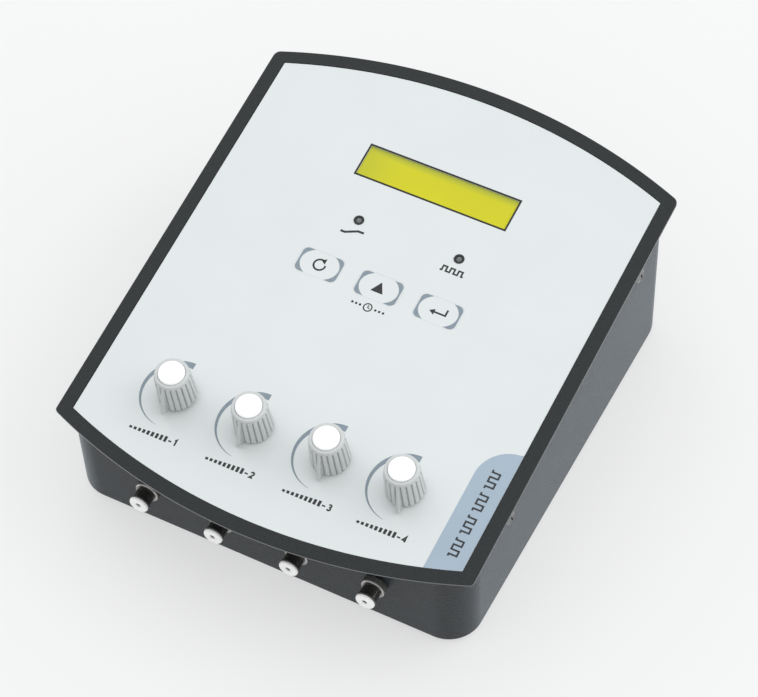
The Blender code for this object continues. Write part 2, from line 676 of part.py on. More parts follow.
# ------------------------------------------------------------ rear wall pieces
def make_inlet():
    """Local Z points out of the rear wall, local Y up."""
    flange = prism(rounded_rectangle(*INLET_FLANGE, 0.0020, 3), GAP, 0.0025 + GAP, top_edge=0.0005)
    block = prism(rectangle(*INLET_CUTOUT), -INLET_DEPTH, 0.0010)
    half_x, half_y = 0.5 * INLET_MOUTH[0], 0.5 * INLET_MOUTH[1]
    slant = 0.0045
    mouth = [(-half_x, half_y - slant), (-half_x, -half_y), (half_x, -half_y), (half_x, half_y - slant),
             (half_x - slant, half_y), (-half_x + slant, half_y)]
    floor = -INLET_DEPTH + 0.0025
    pin_places = ((-0.0070, -0.0020), (0.0070, -0.0020), (0.0, 0.0020))
    pins = [rectangle(0.0020, 0.0040, spot) for spot in pin_places]
    inlet = built(block, [("UNION", flange), ("DIFFERENCE", prism(mouth, floor, 0.010)),
                          ("UNION", prisms(pins, floor - 0.001, -0.0020))])
    turn = (math.radians(90.0), 0.0, math.radians(180.0))
    rear_face = BASE_REAR + WALL_DRAFT * INLET_Z
    place("mains_inlet", inlet, "black_plastic", (INLET_X, rear_face, INLET_Z), turn)


def make_power_switch():
    """Housing with a rocker that turns about the world X axis."""
    flange = prism(rounded_rectangle(*SWITCH_FLANGE, 0.0012, 3), GAP, 0.0018 + GAP, top_edge=0.0004)
    block = prism(rectangle(*SWITCH_CUTOUT), -0.0130, 0.0010)
    well = prism(rectangle(ROCKER_SIZE[0] + 2 * GAP, ROCKER_SIZE[1] + 0.0012), -0.0080, 0.010)
    housing = built(block, [("UNION", flange), ("DIFFERENCE", well)])
    turn = (math.radians(90.0), 0.0, math.radians(180.0))
    spot = (SWITCH_X, BASE_REAR + WALL_DRAFT * SWITCH_Z, SWITCH_Z)
    place("power_switch_housing", housing, "black_plastic", spot, turn)
    half = 0.5 * ROCKER_SIZE[1]
    side = [(-half, -0.0030), (half, -0.0030), (half, 0.0021), (0.0, 0.0012), (-half, 0.0021)]
    blade = prism(side, -0.5 * ROCKER_SIZE[0], 0.5 * ROCKER_SIZE[0])
    blade.transform(Matrix(((0, 0, 1, 0), (1, 0, 0, 0), (0, 1, 0, 0), (0, 0, 0, 1))))
    place("power_switch_rocker", blade, "black_plastic", spot, (turn[0] + ROCKER_TILT, 0.0, turn[2]))


# ------------------------------------------------------- screws and rubber feet
def make_screws():
    head, shank = SCREW_HEAD, SCREW_SHANK
    profile = [(0.0, SCREW_CROWN), (0.5 * head, 0.94 * SCREW_CROWN), (0.85 * head, 0.65 * SCREW_CROWN),
               (head, 0.25 * SCREW_CROWN), (head, 0.0), (shank, 0.0), (shank, -SCREW_LENGTH),
               (0.0, -SCREW_LENGTH)]
    mesh = turned(profile, 12)
    for side, side_name in ((-1, "left"), (1, "right")):
        for y, end_name in zip(SCREW_Y, ("front", "rear")):
            height = screw_height(y)
            spot = (side * (wall_x(height) + GAP), y, height)
            turn = (0.0, side * math.radians(90.0), 0.0)
            place(f"cover_screw_{side_name}_{end_name}", mesh, "nickel", spot, turn)


def make_feet():
    head_low = FLOOR_TOP + GAP
    pad_top = FOOT_HEIGHT - GAP
    profile = [(0.0, head_low + 0.0018), (0.0022, head_low + 0.0018), (0.0036, head_low + 0.0004),
               (0.0036, head_low), (0.0025, head_low), (0.0025, pad_top), (FOOT_RADIUS, pad_top),
               (FOOT_RADIUS, 0.0004), (FOOT_RADIUS - 0.0004, 0.0), (0.0, 0.0)]
    mesh = turned(profile, 16)
    for x, side_name in ((-FOOT_X, "left"), (FOOT_X, "right")):
        for y, end_name in zip(FOOT_Y, ("front", "rear")):
            place(f"foot_{end_name}_{side_name}", mesh, "rubber", (x, y, 0.0))


# --------------------------------------------------------------- inside pieces
def make_display():
    pane = rectangle(WINDOW_WIDTH - 0.0005, WINDOW_DEPTH - 0.0005)
    window = prism(pane, COVER_UNDERSIDE + 0.0002, -0.0005)
    centre = (0.0, WINDOW_CENTRE_Y, 0.0)
    place("display_window", window, "clear_window", centre, parent=panel)
    frame_top = COVER_UNDERSIDE - GAP
    frame_low = frame_top - DISPLAY_DEPTH
    shell = prism(rectangle(*DISPLAY_FRAME), frame_low, frame_top)
    inside = rectangle(DISPLAY_FRAME[0] - 0.0014, DISPLAY_FRAME[1] - 0.0014)
    room = prism(inside, frame_low - 0.001, frame_top - 0.0006)
    opening = rectangle(WINDOW_WIDTH + 0.0006, WINDOW_DEPTH + 0.0006)
    view = prism(opening, frame_top - 0.002, frame_top + 0.002)
    frame = built(shell, [("DIFFERENCE", room), ("DIFFERENCE", view)])
    place("display_frame", frame, "lamination", centre, parent=panel)
    glass = prism(rectangle(DISPLAY_FRAME[0] - 0.0022, DISPLAY_FRAME[1] - 0.0022), frame_low + 0.0003,
                  frame_top - 0.0006 - GAP)
    place("display_glass", glass, "display_glass", centre, parent=panel)
    board = prism(rectangle(*DISPLAY_BOARD), frame_low - GAP - BOARD_THICKNESS, frame_low - GAP)
    place("display_board", board, "circuit_board", centre, parent=panel)
    return frame_low - GAP - BOARD_THICKNESS


def make_control_board():
    low_y, high_y = CONTROL_BOARD_Y
    centre = (0.0, 0.5 * (low_y + high_y))
    top = CONTROL_BOARD_TOP
    slab = prism(rectangle(2 * CONTROL_BOARD_X, high_y - low_y, centre), top - BOARD_THICKNESS, top)
    squares = [rectangle(TACT_SIZE, TACT_SIZE, (x, KEY_Y)) for x in KEY_X]
    rounds = [circle(0.0017, 12, (x, KEY_Y)) for x in KEY_X]
    bodies = prisms(squares, top - 0.0004, top + TACT_BODY)
    buttons = prisms(rounds, top + TACT_BODY - 0.001, top + TACT_HEIGHT)
    board = built(slab, [("UNION", bodies), ("UNION", buttons)])
    place("control_board", board, "circuit_board", parent=panel)


def make_ribbon(display_board_low):
    """Flat cable that loops from the display board down to the control board."""
    start_y, end_y = 0.0445, 0.0315
    radius = 0.5 * (start_y - end_y)
    bend_level = CONTROL_BOARD_TOP - 0.0060
    path = [(start_y, display_board_low - GAP)]
    path += arc((start_y - radius, bend_level), radius, 0.0, -180.0, 8)
    path.append((end_y, CONTROL_BOARD_TOP - BOARD_THICKNESS - GAP))
    half_width, half_thickness = 0.0100, 0.0004
    mesh = bpy.data.meshes.new("ribbon")
    vertices = [(side * half_width, y, z) for y, z in path for side in (-1, 1)]
    faces = [(2 * row, 2 * row + 1, 2 * row + 3, 2 * row + 2) for row in range(len(path) - 1)]
    mesh.from_pydata(vertices, [], faces)
    strip = place("display_ribbon", finish_mesh(mesh), "ribbon_cable", parent=panel)
    thick = strip.modifiers.new("thickness", "SOLIDIFY")
    thick.thickness = 2.0 * half_thickness
    thick.offset = 0.0
    thick.use_even_offset = True


def make_supply_board():
    """Output and supply board on its standoffs, with its tall parts."""
    low = FLOOR_TOP + STANDOFF_HEIGHT + GAP
    slab = prism(rectangle(*SUPPLY_BOARD_SIZE), low, low + BOARD_THICKNESS)
    tall = [circle(0.0050, 14, (-0.040, 0.018)), circle(0.0050, 14, (-0.026, 0.018))]
    coils = [rectangle(0.0160, 0.0140, (-0.0330 + 0.0220 * index, -0.0130)) for index in range(4)]
    top = low + BOARD_THICKNESS
    board = built(slab, [("UNION", prisms(tall, top - 0.0005, top + 0.0120)),
                         ("UNION", prisms(coils, top - 0.0005, top + 0.0100))])
    place("supply_board", board, "circuit_board", (*SUPPLY_BOARD_CENTRE, 0.0))


def make_transformer():
    """Laminated core with two windows; the winding passes through both."""
    width, depth, height = TRANSFORMER_SIZE
    limb = width / 6.0
    core = prism(rectangle(width, depth), 0.0, height)
    windows = [rectangle(limb, height - 2 * limb, (side * 1.5 * limb, 0.5 * height)) for side in (-1, 1)]
    through = prisms(windows, -0.02, 0.02)
    through.transform(Matrix.Rotation(math.radians(90.0), 4, "X"))
    stack = built(core, [("DIFFERENCE", through)])
    spot = (*TRANSFORMER_CENTRE, FLOOR_TOP + GAP)
    place("transformer_core", stack, "lamination", spot)
    low, high = limb + GAP, height - limb - GAP
    outer = prism(rounded_rectangle(4 * limb - 2 * GAP, depth + 0.012, 0.002, 2), low, high)
    hole = prism(rectangle(2 * limb + 2 * GAP, depth + 2 * GAP), low - 0.001, high + 0.001)
    winding = built(outer, [("DIFFERENCE", hole)])
    place("transformer_winding", winding, "winding_tape", spot)


make_base_shell()
make_top_cover()
make_front_overlay()
make_keys()
make_lamps()
make_knobs()
make_sockets()
make_inlet()
make_power_switch()
make_screws()
make_feet()
make_ribbon(make_display())
make_control_board()
make_supply_board()
make_transformer()
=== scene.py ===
"""Looks of the desk-top four-channel nerve stimulator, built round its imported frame.

Everything on the sloping panel is made in the panel's own frame: u runs to the
right, v up the panel and w out of it, with w = 0 at the cover's upper face.
"""

import json
import math

import bmesh
import bpy
from mathutils import Matrix, Vector


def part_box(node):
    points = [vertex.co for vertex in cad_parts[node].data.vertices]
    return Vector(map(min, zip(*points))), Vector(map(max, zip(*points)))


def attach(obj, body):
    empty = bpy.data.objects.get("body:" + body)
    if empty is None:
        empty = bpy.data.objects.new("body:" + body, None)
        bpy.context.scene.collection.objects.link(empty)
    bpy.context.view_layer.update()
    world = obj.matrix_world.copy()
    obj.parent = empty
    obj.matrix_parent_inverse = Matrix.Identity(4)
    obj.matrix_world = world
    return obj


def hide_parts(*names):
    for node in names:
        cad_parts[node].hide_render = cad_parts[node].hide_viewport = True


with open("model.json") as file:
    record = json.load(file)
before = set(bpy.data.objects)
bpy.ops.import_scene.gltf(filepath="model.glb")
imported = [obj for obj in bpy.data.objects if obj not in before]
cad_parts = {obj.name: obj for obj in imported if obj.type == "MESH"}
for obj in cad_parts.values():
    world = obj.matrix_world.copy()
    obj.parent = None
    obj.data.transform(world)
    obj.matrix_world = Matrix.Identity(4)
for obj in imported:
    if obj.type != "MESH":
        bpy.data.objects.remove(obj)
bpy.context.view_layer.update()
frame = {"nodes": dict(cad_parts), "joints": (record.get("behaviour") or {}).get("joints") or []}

# --- sizes in metres
HAIR = 0.00002                  # thickness of a printed mark
PRINT_LIFT = 0.000004           # print clear of the film under it

COVER_HALF_WIDTH = 0.0858
COVER_BOW = 0.1033
COVER_CORNERS = (0.0012, 0.0025)     # front and rear
COVER_LIP = 0.0012              # thickness of the overhang
COVER_THICKNESS = 0.0032
COVER_EDGE = 0.00016
BAND_DEPTH = 0.00004            # polished edge stands this far out of the cover
BOW_RADIUS = 0.2345
BOW_STEPS = 72
FILM_HALF_WIDTH = 0.0800
FILM_BOW = 0.0976
FILM_TOP = -0.0002
FILM_THICKNESS = 0.0004
RECESS_GAP = 0.00025

BASE_CORNER = 0.0130
BASE_HALF_WIDTH = 0.0828
BASE_FRONT = -0.0871
BASE_REAR = 0.0860
BASE_TOP = 0.0780
BASE_WALL = 0.0024
BASE_FLOOR = 0.0025
BASE_EDGE = 0.0015
WALL_DRAFT = 0.0070
FOOT_HEIGHT = 0.0020
FOOT_HOLE = 0.0028              # radius
TONGUE_LOW = -0.0070

KEY_Y = 0.0078
KEY_X = {"key_reset": -0.0250, "key_time": 0.0, "key_enter": 0.0248}
KEY_HOLE = (0.0182, 0.0110, 0.0028)
KEY_SEAM = 0.00004
CLOCK_Y = -0.0013
LAMP_X = {"ramp_lamp": -0.0204, "pulse_lamp": 0.0218}
LAMP_Y = 0.0312
LAMP_MARK_Y = 0.0255
LAMP_RADIUS = 0.00122
COLLAR_RADIUS = 0.0020
WINDOW_CENTRE = (0.0002, 0.0564)
WINDOW = (0.0627, 0.0133)       # clear part of the film
WINDOW_BORDER = (0.0642, 0.0149)
COVER_OPENING = (0.0642, 0.0146)
PANE = (0.0638, 0.0142)         # the window in that opening

KNOB_Y = -0.0629
KNOB_LIFT = 0.0004
KNOB_BASE_RADIUS = 0.0074
KNOB_TOP_RADIUS = 0.0065
KNOB_HEIGHT = 0.0151
KNOB_RING = 0.0015
KNOB_FLUTES = 20
FLUTE_DEPTH = 0.00085
KNOB_POINTER = (4.0, 7.0, -1.0, -12.0)      # degrees, as in the picture
CAP_RADIUS = 0.0051
FIN_REACH = 0.0104

SOCKET_Z = 0.0240
SOCKET_REACH = 0.0095
SOCKET_HOLE = 0.0034            # radius in the wall
SOCKET_NECK = 0.00355
# Angles round each barrel of the light strip that gives the painted highlight.
HIGHLIGHT_STRIP_ANGLES = (46.0, -54.0, -52.0, -50.0)   # degrees
SCREW_CROWN = 0.0011
SCREW_HOLE = 0.0019             # radius
SCREW_Y = (-0.0520, 0.0574)
SCREW_DEPTH = 0.0095            # below the cover's upper face
SCREW_WALL = 0.0790             # where the holes in the tongue start
LUG_X = 0.0777
SWITCH_LEAN = 10.0              # degrees, half of the rocker's travel
PIN_PLACES = ((-0.0070, -0.0020), (0.0070, -0.0020), (0.0, 0.0020))

SCALE_X = (-0.0473, -0.0154, 0.01635, 0.0466)
SCALE_Y = -0.0629


# --- placing helpers
def at(x, y, z):
    return Matrix.Translation((x, y, z))


def turned(degrees, axis):
    return Matrix.Rotation(math.radians(degrees), 4, axis)


def new_object(name, data):
    item = bpy.data.objects.new(name, data)
    bpy.context.scene.collection.objects.link(item)
    return item


# Turns x into y, y into z and z into x.
SIDEWAYS = Matrix(((0, 0, 1, 0), (1, 0, 0, 0), (0, 1, 0, 0), (0, 0, 0, 1)))

# --- the panel's frame
JOINTS = {joint["name"]: joint for joint in frame["joints"]}
KNOB_AXES = [Vector(JOINTS[f"intensity_{index}_turn"]["pos_m"]) for index in range(1, 5)]
PANEL_OUT = -Vector(JOINTS["intensity_1_turn"]["axis"]).normalized()
PANEL_RIGHT = Vector((1.0, 0.0, 0.0))
PANEL_UP = PANEL_OUT.cross(PANEL_RIGHT)
KNOB_X = [axis.x for axis in KNOB_AXES]
SWITCH_HINGE = JOINTS["power_switch_rock"]["pos_m"]
panel_origin = KNOB_AXES[1] - KNOB_X[1] * PANEL_RIGHT - KNOB_Y * PANEL_UP - KNOB_LIFT * PANEL_OUT
PANEL = at(*panel_origin) @ Matrix((PANEL_RIGHT, PANEL_UP, PANEL_OUT)).transposed().to_4x4()
TILT = math.atan2(-PANEL_OUT.y, PANEL_OUT.z)


def along_panel(world_y, depth):
    """Distance up the panel of the vertical plane at a world Y, at a depth."""
    return (world_y - panel_origin.y + depth * math.sin(TILT)) / math.cos(TILT)


# --- materials
NOISE_RANGE = (0.30, 0.70)      # where nearly all values of the noise lie
WHITE = (1.0, 1.0, 1.0, 1.0)


def fill(node, **values):
    """Set a node's inputs. An underscore in a name stands for a space."""
    for name, value in values.items():
        node.inputs[name.replace("_", " ")].default_value = value
    return node


class Finish:
    """A Principled material with a few procedural layers over object space."""

    def __init__(self, name, colour, roughness, metallic=0.0):
        self.material = bpy.data.materials.new(name)
        self.material.use_nodes = True
        self.nodes = self.material.node_tree.nodes
        self.link = self.material.node_tree.links.new
        self.shader = self.nodes["Principled BSDF"]
        self.set(Base_Color=(*colour, 1.0), Roughness=roughness, Metallic=metallic)
        self.space = self.add("TexCoord").outputs["Object"]
        self.colour = colour
        self.roughness = roughness
        self.last_bump = None

    def set(self, **values):
        fill(self.shader, **values)
        return self

    def add(self, kind, **values):
        return fill(self.nodes.new("ShaderNode" + kind), **values)

    def noise(self, scale, detail=3.0, stretch=(1.0, 1.0, 1.0)):
        mapping = self.add("Mapping", Scale=stretch)
        texture = self.add("TexNoise", Scale=scale, Detail=detail)
        self.link(self.space, mapping.inputs["Vector"])
        self.link(mapping.outputs["Vector"], texture.inputs["Vector"])
        return texture.outputs["Fac"]

    def remap(self, value, low, high, out_low, out_high):
        node = self.add("MapRange", From_Min=low, From_Max=high, To_Min=out_low, To_Max=out_high)
        self.link(value, node.inputs["Value"])
        return node.outputs["Result"]

    def mottle(self, scale, amount, detail=3.0):
        """Vary the colour by a share of itself."""
        node = self.add("ValToRGB")
        for stop, place, share in zip(node.color_ramp.elements, NOISE_RANGE, (1.0 - amount, 1.0 + amount)):
            stop.position = place
            stop.color = (*[min(1.0, channel * share) for channel in self.colour], 1.0)
        self.link(self.noise(scale, detail), node.inputs["Fac"])
        self.link(node.outputs["Color"], self.shader.inputs["Base Color"])
        return self

    def uneven_gloss(self, scale, amount):
        low, high = self.roughness - amount, self.roughness + amount
        wanted = self.remap(self.noise(scale, 4.0), *NOISE_RANGE, low, high)
        self.link(wanted, self.shader.inputs["Roughness"])
        return self

    def bump(self, value, distance):
        node = self.add("Bump", Distance=distance, Strength=1.0)
        self.link(value, node.inputs["Height"])
        if self.last_bump:
            self.link(self.last_bump, node.inputs["Normal"])
        self.last_bump = node.outputs["Normal"]
        self.link(self.last_bump, self.shader.inputs["Normal"])
        return self

    def paint_shadow_towards(self, y_range, x_range, colour):
        """Painted shadow: blend the colour into a darker one towards the upper and the left edge, where the
        window's edges shade the cell.
        """
        parts = self.add("SeparateXYZ")
        self.link(self.space, parts.inputs["Vector"])
        most = self.add("Math")
        most.operation = "MAXIMUM"
        self.link(self.remap(parts.outputs["Y"], *y_range, 0.0, 1.0), most.inputs[0])
        self.link(self.remap(parts.outputs["X"], *x_range, 0.0, 1.0), most.inputs[1])
        blend = self.add("Mix")
        blend.data_type = "RGBA"
        colour_a, colour_b, result = blend.inputs[6], blend.inputs[7], blend.outputs[2]
        self.link(most.outputs["Value"], blend.inputs["Factor"])
        self.link(self.shader.inputs["Base Color"].links[0].from_socket, colour_a)
        colour_b.default_value = (*colour, 1.0)
        self.link(result, self.shader.inputs["Base Color"])
        return self

    def bands(self, axis, pitch):
        """A wave that repeats along one axis, for laminations, tape and wires."""
        node = self.add("TexWave", Scale=0.314159 / pitch)
        node.bands_direction = axis
        self.link(self.space, node.inputs["Vector"])
        return node.outputs["Fac"]


def moulded(name, colour, roughness, grain, depth, mottle):
    """Moulded plastic with a spark-eroded or satin skin."""
    finish = Finish(name, colour, roughness).mottle(90.0, mottle).uneven_gloss(140.0, 0.05)
    return finish.bump(finish.noise(grain, 2.0), depth)


# material, colour, roughness, metal, scale and share of the mottle, scale and amount of the uneven gloss
PLAIN = {
    "case_edge": ("case_edge", (0.050, 0.054, 0.057), 0.20, 0.0, (300.0, 0.08), (240.0, 0.04)),
    "film": ("overlay_film", (0.752, 0.785, 0.782), 0.36, 0.0, (35.0, 0.012), (60.0, 0.03)),
    "ink_blue": ("ink_blue_grey", (0.235, 0.290, 0.335), 0.42, 0.0, (500.0, 0.06), None),
    "ink_tab": ("ink_pale_blue", (0.38, 0.47, 0.56), 0.40, 0.0, (60.0, 0.03), None),
    "ink_black": ("ink_black", (0.018, 0.020, 0.022), 0.45, 0.0, (700.0, 0.15), None),
    "ink_white": ("ink_white", (0.80, 0.80, 0.78), 0.45, 0.0, (700.0, 0.03), None),
    "ink_border": ("ink_border", (0.012, 0.013, 0.004), 0.60, 0.0, (400.0, 0.10), None),
    "cap": ("cap_white", (0.95, 0.95, 0.95), 0.16, 0.0, (150.0, 0.01), (200.0, 0.04)),
    "lamp": ("lamp_resin", (0.150, 0.168, 0.168), 0.45, 0.0, (900.0, 0.08), (700.0, 0.05)),
    "nickel": ("bright_nickel", (0.78, 0.765, 0.74), 0.13, 1.0, (220.0, 0.04), (420.0, 0.05)),
    "dark_nickel": ("dark_nickel", (0.130, 0.124, 0.118), 0.27, 0.8, (300.0, 0.12), (420.0, 0.05)),
    "nut": ("blackened_nut", (0.34, 0.33, 0.32), 0.34, 0.7, (300.0, 0.15), (420.0, 0.05)),
    "screw": ("screw_steel", (0.24, 0.24, 0.25), 0.32, 1.0, (300.0, 0.15), (420.0, 0.08)),
    "nylon": ("white_nylon", (0.93, 0.93, 0.92), 0.28, 0.0, (300.0, 0.02), (300.0, 0.05)),
    "can": ("plated_steel", (0.42, 0.41, 0.39), 0.30, 1.0, (250.0, 0.08), (300.0, 0.06)),
    "board": ("circuit_board", (0.020, 0.120, 0.045), 0.32, 0.0, (300.0, 0.35), None),
    "steel": ("silicon_steel", (0.27, 0.27, 0.28), 0.38, 0.9, (250.0, 0.10), None),
    "tape": ("winding_tape", (0.62, 0.46, 0.07), 0.30, 0.0, (140.0, 0.08), None),
    "ribbon": ("ribbon_cable", (0.42, 0.43, 0.45), 0.50, 0.0, (200.0, 0.05), None),
}


def make_finishes():
    made = {}
    # Painted light: the lid's plastic is made lighter than the base's, for the light on the cover's upper
    # face and the shade on the base's walls.
    for name, colour, roughness, ior, sheen in (("case", (0.0060, 0.0080, 0.0095), 0.34, 1.34, 0.34),
                                                ("lid", (0.0170, 0.0205, 0.0215), 0.36, 1.37, 0.10)):
        case = Finish(f"{name}_abs", colour, roughness).mottle(1400.0, 0.25, 2.0).uneven_gloss(1600.0, 0.06)
        case.set(IOR=ior, Sheen_Weight=sheen, Sheen_Roughness=0.35, Sheen_Tint=(0.70, 0.86, 1.0, 1.0))
        made[name] = case.bump(case.noise(1900.0, 1.0), 0.00018)
    for key, (name, colour, roughness, metal, mottle, gloss) in PLAIN.items():
        made[key] = Finish(name, colour, roughness, metal).mottle(*mottle)
        if gloss:
            made[key].uneven_gloss(*gloss)
    made["case_edge"].set(IOR=1.62)
    made["film"].bump(made["film"].noise(1500.0, 2.0), 0.000004)
    # Painted light: a faint glow brightens the white caps, which are no lamps.
    made["cap"].set(Coat_Weight=0.6, Coat_Roughness=0.05, Emission_Color=WHITE, Emission_Strength=0.06)
    # Painted light: a faint glow brightens the socket discs, which face away from the light and are no lamps.
    made["nylon"].set(Emission_Color=WHITE, Emission_Strength=0.10)
    tracks = made["board"].noise(420.0, 0.0, (1.0, 0.25, 1.0))
    made["board"].bump(made["board"].remap(tracks, 0.50, 0.53, 0.0, 1.0), 0.00003)
    for key, axis, pitch, depth in (("steel", "Y", 0.0006, 0.00004), ("tape", "Z", 0.0050, 0.00005),
                                    ("ribbon", "X", 0.00127, 0.00018)):
        made[key].bump(made[key].bands(axis, pitch), depth)
    made["knob"] = moulded("knob_grey", (0.620, 0.640, 0.632), 0.42, 1800.0, 0.00002, 0.025)
    made["black"] = moulded("black_plastic", (0.018, 0.018, 0.019), 0.40, 1500.0, 0.00002, 0.08)
    made["rubber"] = moulded("rubber", (0.022, 0.022, 0.022), 0.80, 1200.0, 0.00005, 0.10)
    made["display"] = display_finish()
    return {name: finish.material for name, finish in made.items()}


def display_finish():
    """Yellow-green backlit cell with two rows of sixteen faint character cells, and painted shadow along its
    upper and left edges.
    """
    finish = Finish("display_yellow_green", (0.59, 0.565, 0.012), 0.30)
    # Painted shadow of the window's upper and left edges on the cell.
    finish.mottle(26.0, 0.030).paint_shadow_towards((0.0034, 0.0070), (-0.0160, -0.0600), (0.31, 0.36, 0.05))
    finish.set(Emission_Color=(0.60, 0.57, 0.005, 1.0), Emission_Strength=0.09, IOR=1.36)
    cells = finish.add("TexBrick", Scale=1.0, Brick_Width=0.00355, Row_Height=0.00595, Mortar_Size=0.0003,
                       Mortar_Smooth=0.2)
    cells.offset = 0.0
    finish.link(finish.space, cells.inputs["Vector"])
    return finish.bump(cells.outputs["Fac"], 0.000003)


INK = make_finishes()


# --- outlines
def polar(radius, degrees, x=0.0, y=0.0):
    angle = math.radians(degrees)
    return x + radius * math.cos(angle), y + radius * math.sin(angle)


def arc(centre, radius, start, end, steps=4):
    """Points along an arc in degrees, both ends included."""
    return [polar(radius, start + (end - start) * step / steps, *centre) for step in range(steps + 1)]


def circle(radius, steps=48, centre=(0.0, 0.0)):
    return arc(centre, radius, 0.0, 360.0, steps)[:-1]


def rectangle(width, depth, centre=(0.0, 0.0)):
    x, y = 0.5 * width, 0.5 * depth
    return [(centre[0] + sx * x, centre[1] + sy * y) for sx, sy in ((-1, -1), (1, -1), (1, 1), (-1, 1))]


def rounded_rectangle(width, depth, radius, centre=(0.0, 0.0), steps=10):
    x, y = 0.5 * width - radius, 0.5 * depth - radius
    points = []
    for sx, sy, start in ((1, -1, -90.0), (1, 1, 0.0), (-1, 1, 90.0), (-1, -1, 180.0)):
        points += arc((centre[0] + sx * x, centre[1] + sy * y), radius, start, start + 90.0, steps)
    return points


def bowed_outline(half_width, bow, corners=(0.0, 0.0)):
    """Straight sides, front and rear edges that bow outwards, small round corners."""
    bow_centre = BOW_RADIUS - bow
    half_angle = math.degrees(math.asin(half_width / BOW_RADIUS))
    front = arc((0.0, bow_centre), BOW_RADIUS, 270.0 - half_angle, 270.0 + half_angle, BOW_STEPS)
    outline = front + [(-x, -y) for x, y in front]
    front_corner, rear_corner = corners
    radii = {0: front_corner, BOW_STEPS: front_corner,
             BOW_STEPS + 1: rear_corner, 2 * BOW_STEPS + 1: rear_corner}
    result = []
    for index, point in enumerate(outline):
        corner = radii.get(index, 0.0)
        if not corner:
            result.append(point)
            continue
        here = Vector(point)
        before = Vector(outline[index - 1])
        after = Vector(outline[(index + 1) % len(outline)])
        start = here + (before - here).normalized() * min(corner, 0.9 * (before - here).length)
        end = here + (after - here).normalized() * min(corner, 0.9 * (after - here).length)
        for step in range(9):
            t = step / 8
            result.append(tuple(start * (1 - t) ** 2 + here * 2 * t * (1 - t) + end * t ** 2))
    return result


def shifted(points, x, y):
    return [(px + x, py + y) for px, py in points]


# --- meshes
SHARP = 40.0                    # degrees; the edges that get rounded are sharper


def smooth(mesh):
    mesh.shade_smooth()
    mesh.set_sharp_from_angle(angle=math.radians(30.0))
    return mesh


def to_mesh(bm):
    bmesh.ops.recalc_face_normals(bm, faces=bm.faces)
    mesh = bpy.data.meshes.new("mesh")
    bm.to_mesh(mesh)
    bm.free()
    return smooth(mesh)


def prism(outline, low, high, top_scale=1.0, top_edge=0.0, bottom_edge=0.0, segments=3):
    """A straight or tapered block over an outline, its rims rounded if asked."""
    bm = bmesh.new()
    floor = bm.faces.new([bm.verts.new((x, y, low)) for x, y in outline])
    for item in bmesh.ops.extrude_face_region(bm, geom=[floor])["geom"]:
        if isinstance(item, bmesh.types.BMVert):
            item.co = Vector((item.co.x * top_scale, item.co.y * top_scale, high))
    bmesh.ops.recalc_face_normals(bm, faces=bm.faces)
    for height, width in ((high, top_edge), (low, bottom_edge)):
        if width:
            rim = [edge for edge in bm.edges if all(abs(v.co.z - height) < 1e-7 for v in edge.verts)]
            bmesh.ops.bevel(bm, geom=rim, offset=width, segments=segments, profile=0.5, affect="EDGES")
    return to_mesh(bm)


def prisms(outlines, low, high):
    """Several separate blocks in one mesh."""
    return joined([prism(outline, low, high) for outline in outlines])


def freeze(worker):
    bpy.context.view_layer.update()
    graph = bpy.context.evaluated_depsgraph_get()
    mesh = bpy.data.meshes.new_from_object(worker.evaluated_get(graph))
    bpy.data.objects.remove(worker, do_unlink=True)
    return mesh


def plate(loops, low, high):
    """A flat sheet with holes: loops that lie inside others cut through it."""
    curve = bpy.data.curves.new("plate", "CURVE")
    curve.dimensions = "2D"
    curve.fill_mode = "BOTH"
    curve.extrude = 0.5 * (high - low)
    for loop in loops:
        spline = curve.splines.new("POLY")
        spline.points.add(len(loop) - 1)
        for point, (x, y) in zip(spline.points, loop):
            point.co = (x, y, 0.0, 1.0)
        spline.use_cyclic_u = True
    mesh = freeze(new_object("plate", curve))
    mesh.transform(at(0.0, 0.0, 0.5 * (low + high)))
    bm = bmesh.new()
    bm.from_mesh(mesh)
    bmesh.ops.remove_doubles(bm, verts=bm.verts, dist=1e-7)
    return to_mesh(bm)


def rows_mesh(rows, closed_ring=False):
    """Skin a stack of equal rings; a row given as one point closes the end."""
    bm = bmesh.new()
    rings = [[bm.verts.new(point) for point in row] for row in rows]
    pairs = list(zip(rings, rings[1:]))
    if closed_ring:
        pairs.append((rings[-1], rings[0]))
    for first, second in pairs:
        count = max(len(first), len(second))
        for index in range(count):
            after = (index + 1) % count
            corners = [first[index % len(first)], first[after % len(first)],
                       second[after % len(second)], second[index % len(second)]]
            unique = [vertex for place, vertex in enumerate(corners) if vertex not in corners[:place]]
            bm.faces.new(unique)
    return to_mesh(bm)


def lathe(profile, steps=64, ring=False):
    """Turn a profile of (radius, height) about Z."""
    rows = []
    for radius, height in profile:
        if radius < 1e-9:
            rows.append([(0.0, 0.0, height)])
        else:
            rows.append([(x, y, height) for x, y in circle(radius, steps)])
    return rows_mesh(rows, ring)


def moved(mesh, matrix):
    mesh.transform(matrix)
    return mesh


def rounded(mesh, width):
    """The mesh with its edges rounded."""
    bm = bmesh.new()
    bm.from_mesh(mesh)
    edges = [edge for edge in bm.edges if edge.calc_face_angle(0.0) > math.radians(SHARP)]
    bmesh.ops.bevel(bm, geom=edges, offset=width, segments=3, profile=0.5, affect="EDGES")
    return to_mesh(bm)


def joined(meshes):
    bm = bmesh.new()
    for mesh in meshes:
        bm.from_mesh(mesh)
    result = bpy.data.meshes.new("joined")
    bm.to_mesh(result)
    bm.free()
    return smooth(result)


ADD, CUT = "UNION", "DIFFERENCE"


def built(mesh, steps):
    """Run (operation, mesh) steps on a mesh and return the finished mesh."""
    worker = new_object("built", mesh)
    tools = []
    for operation, tool_mesh in steps:
        tool = new_object("tool", tool_mesh)
        step = worker.modifiers.new("step", "BOOLEAN")
        step.operation = operation
        step.solver = "EXACT"
        step.object = tool
        tools.append(tool)
    result = freeze(worker)
    for tool in tools:
        bpy.data.objects.remove(tool, do_unlink=True)
    return smooth(result)


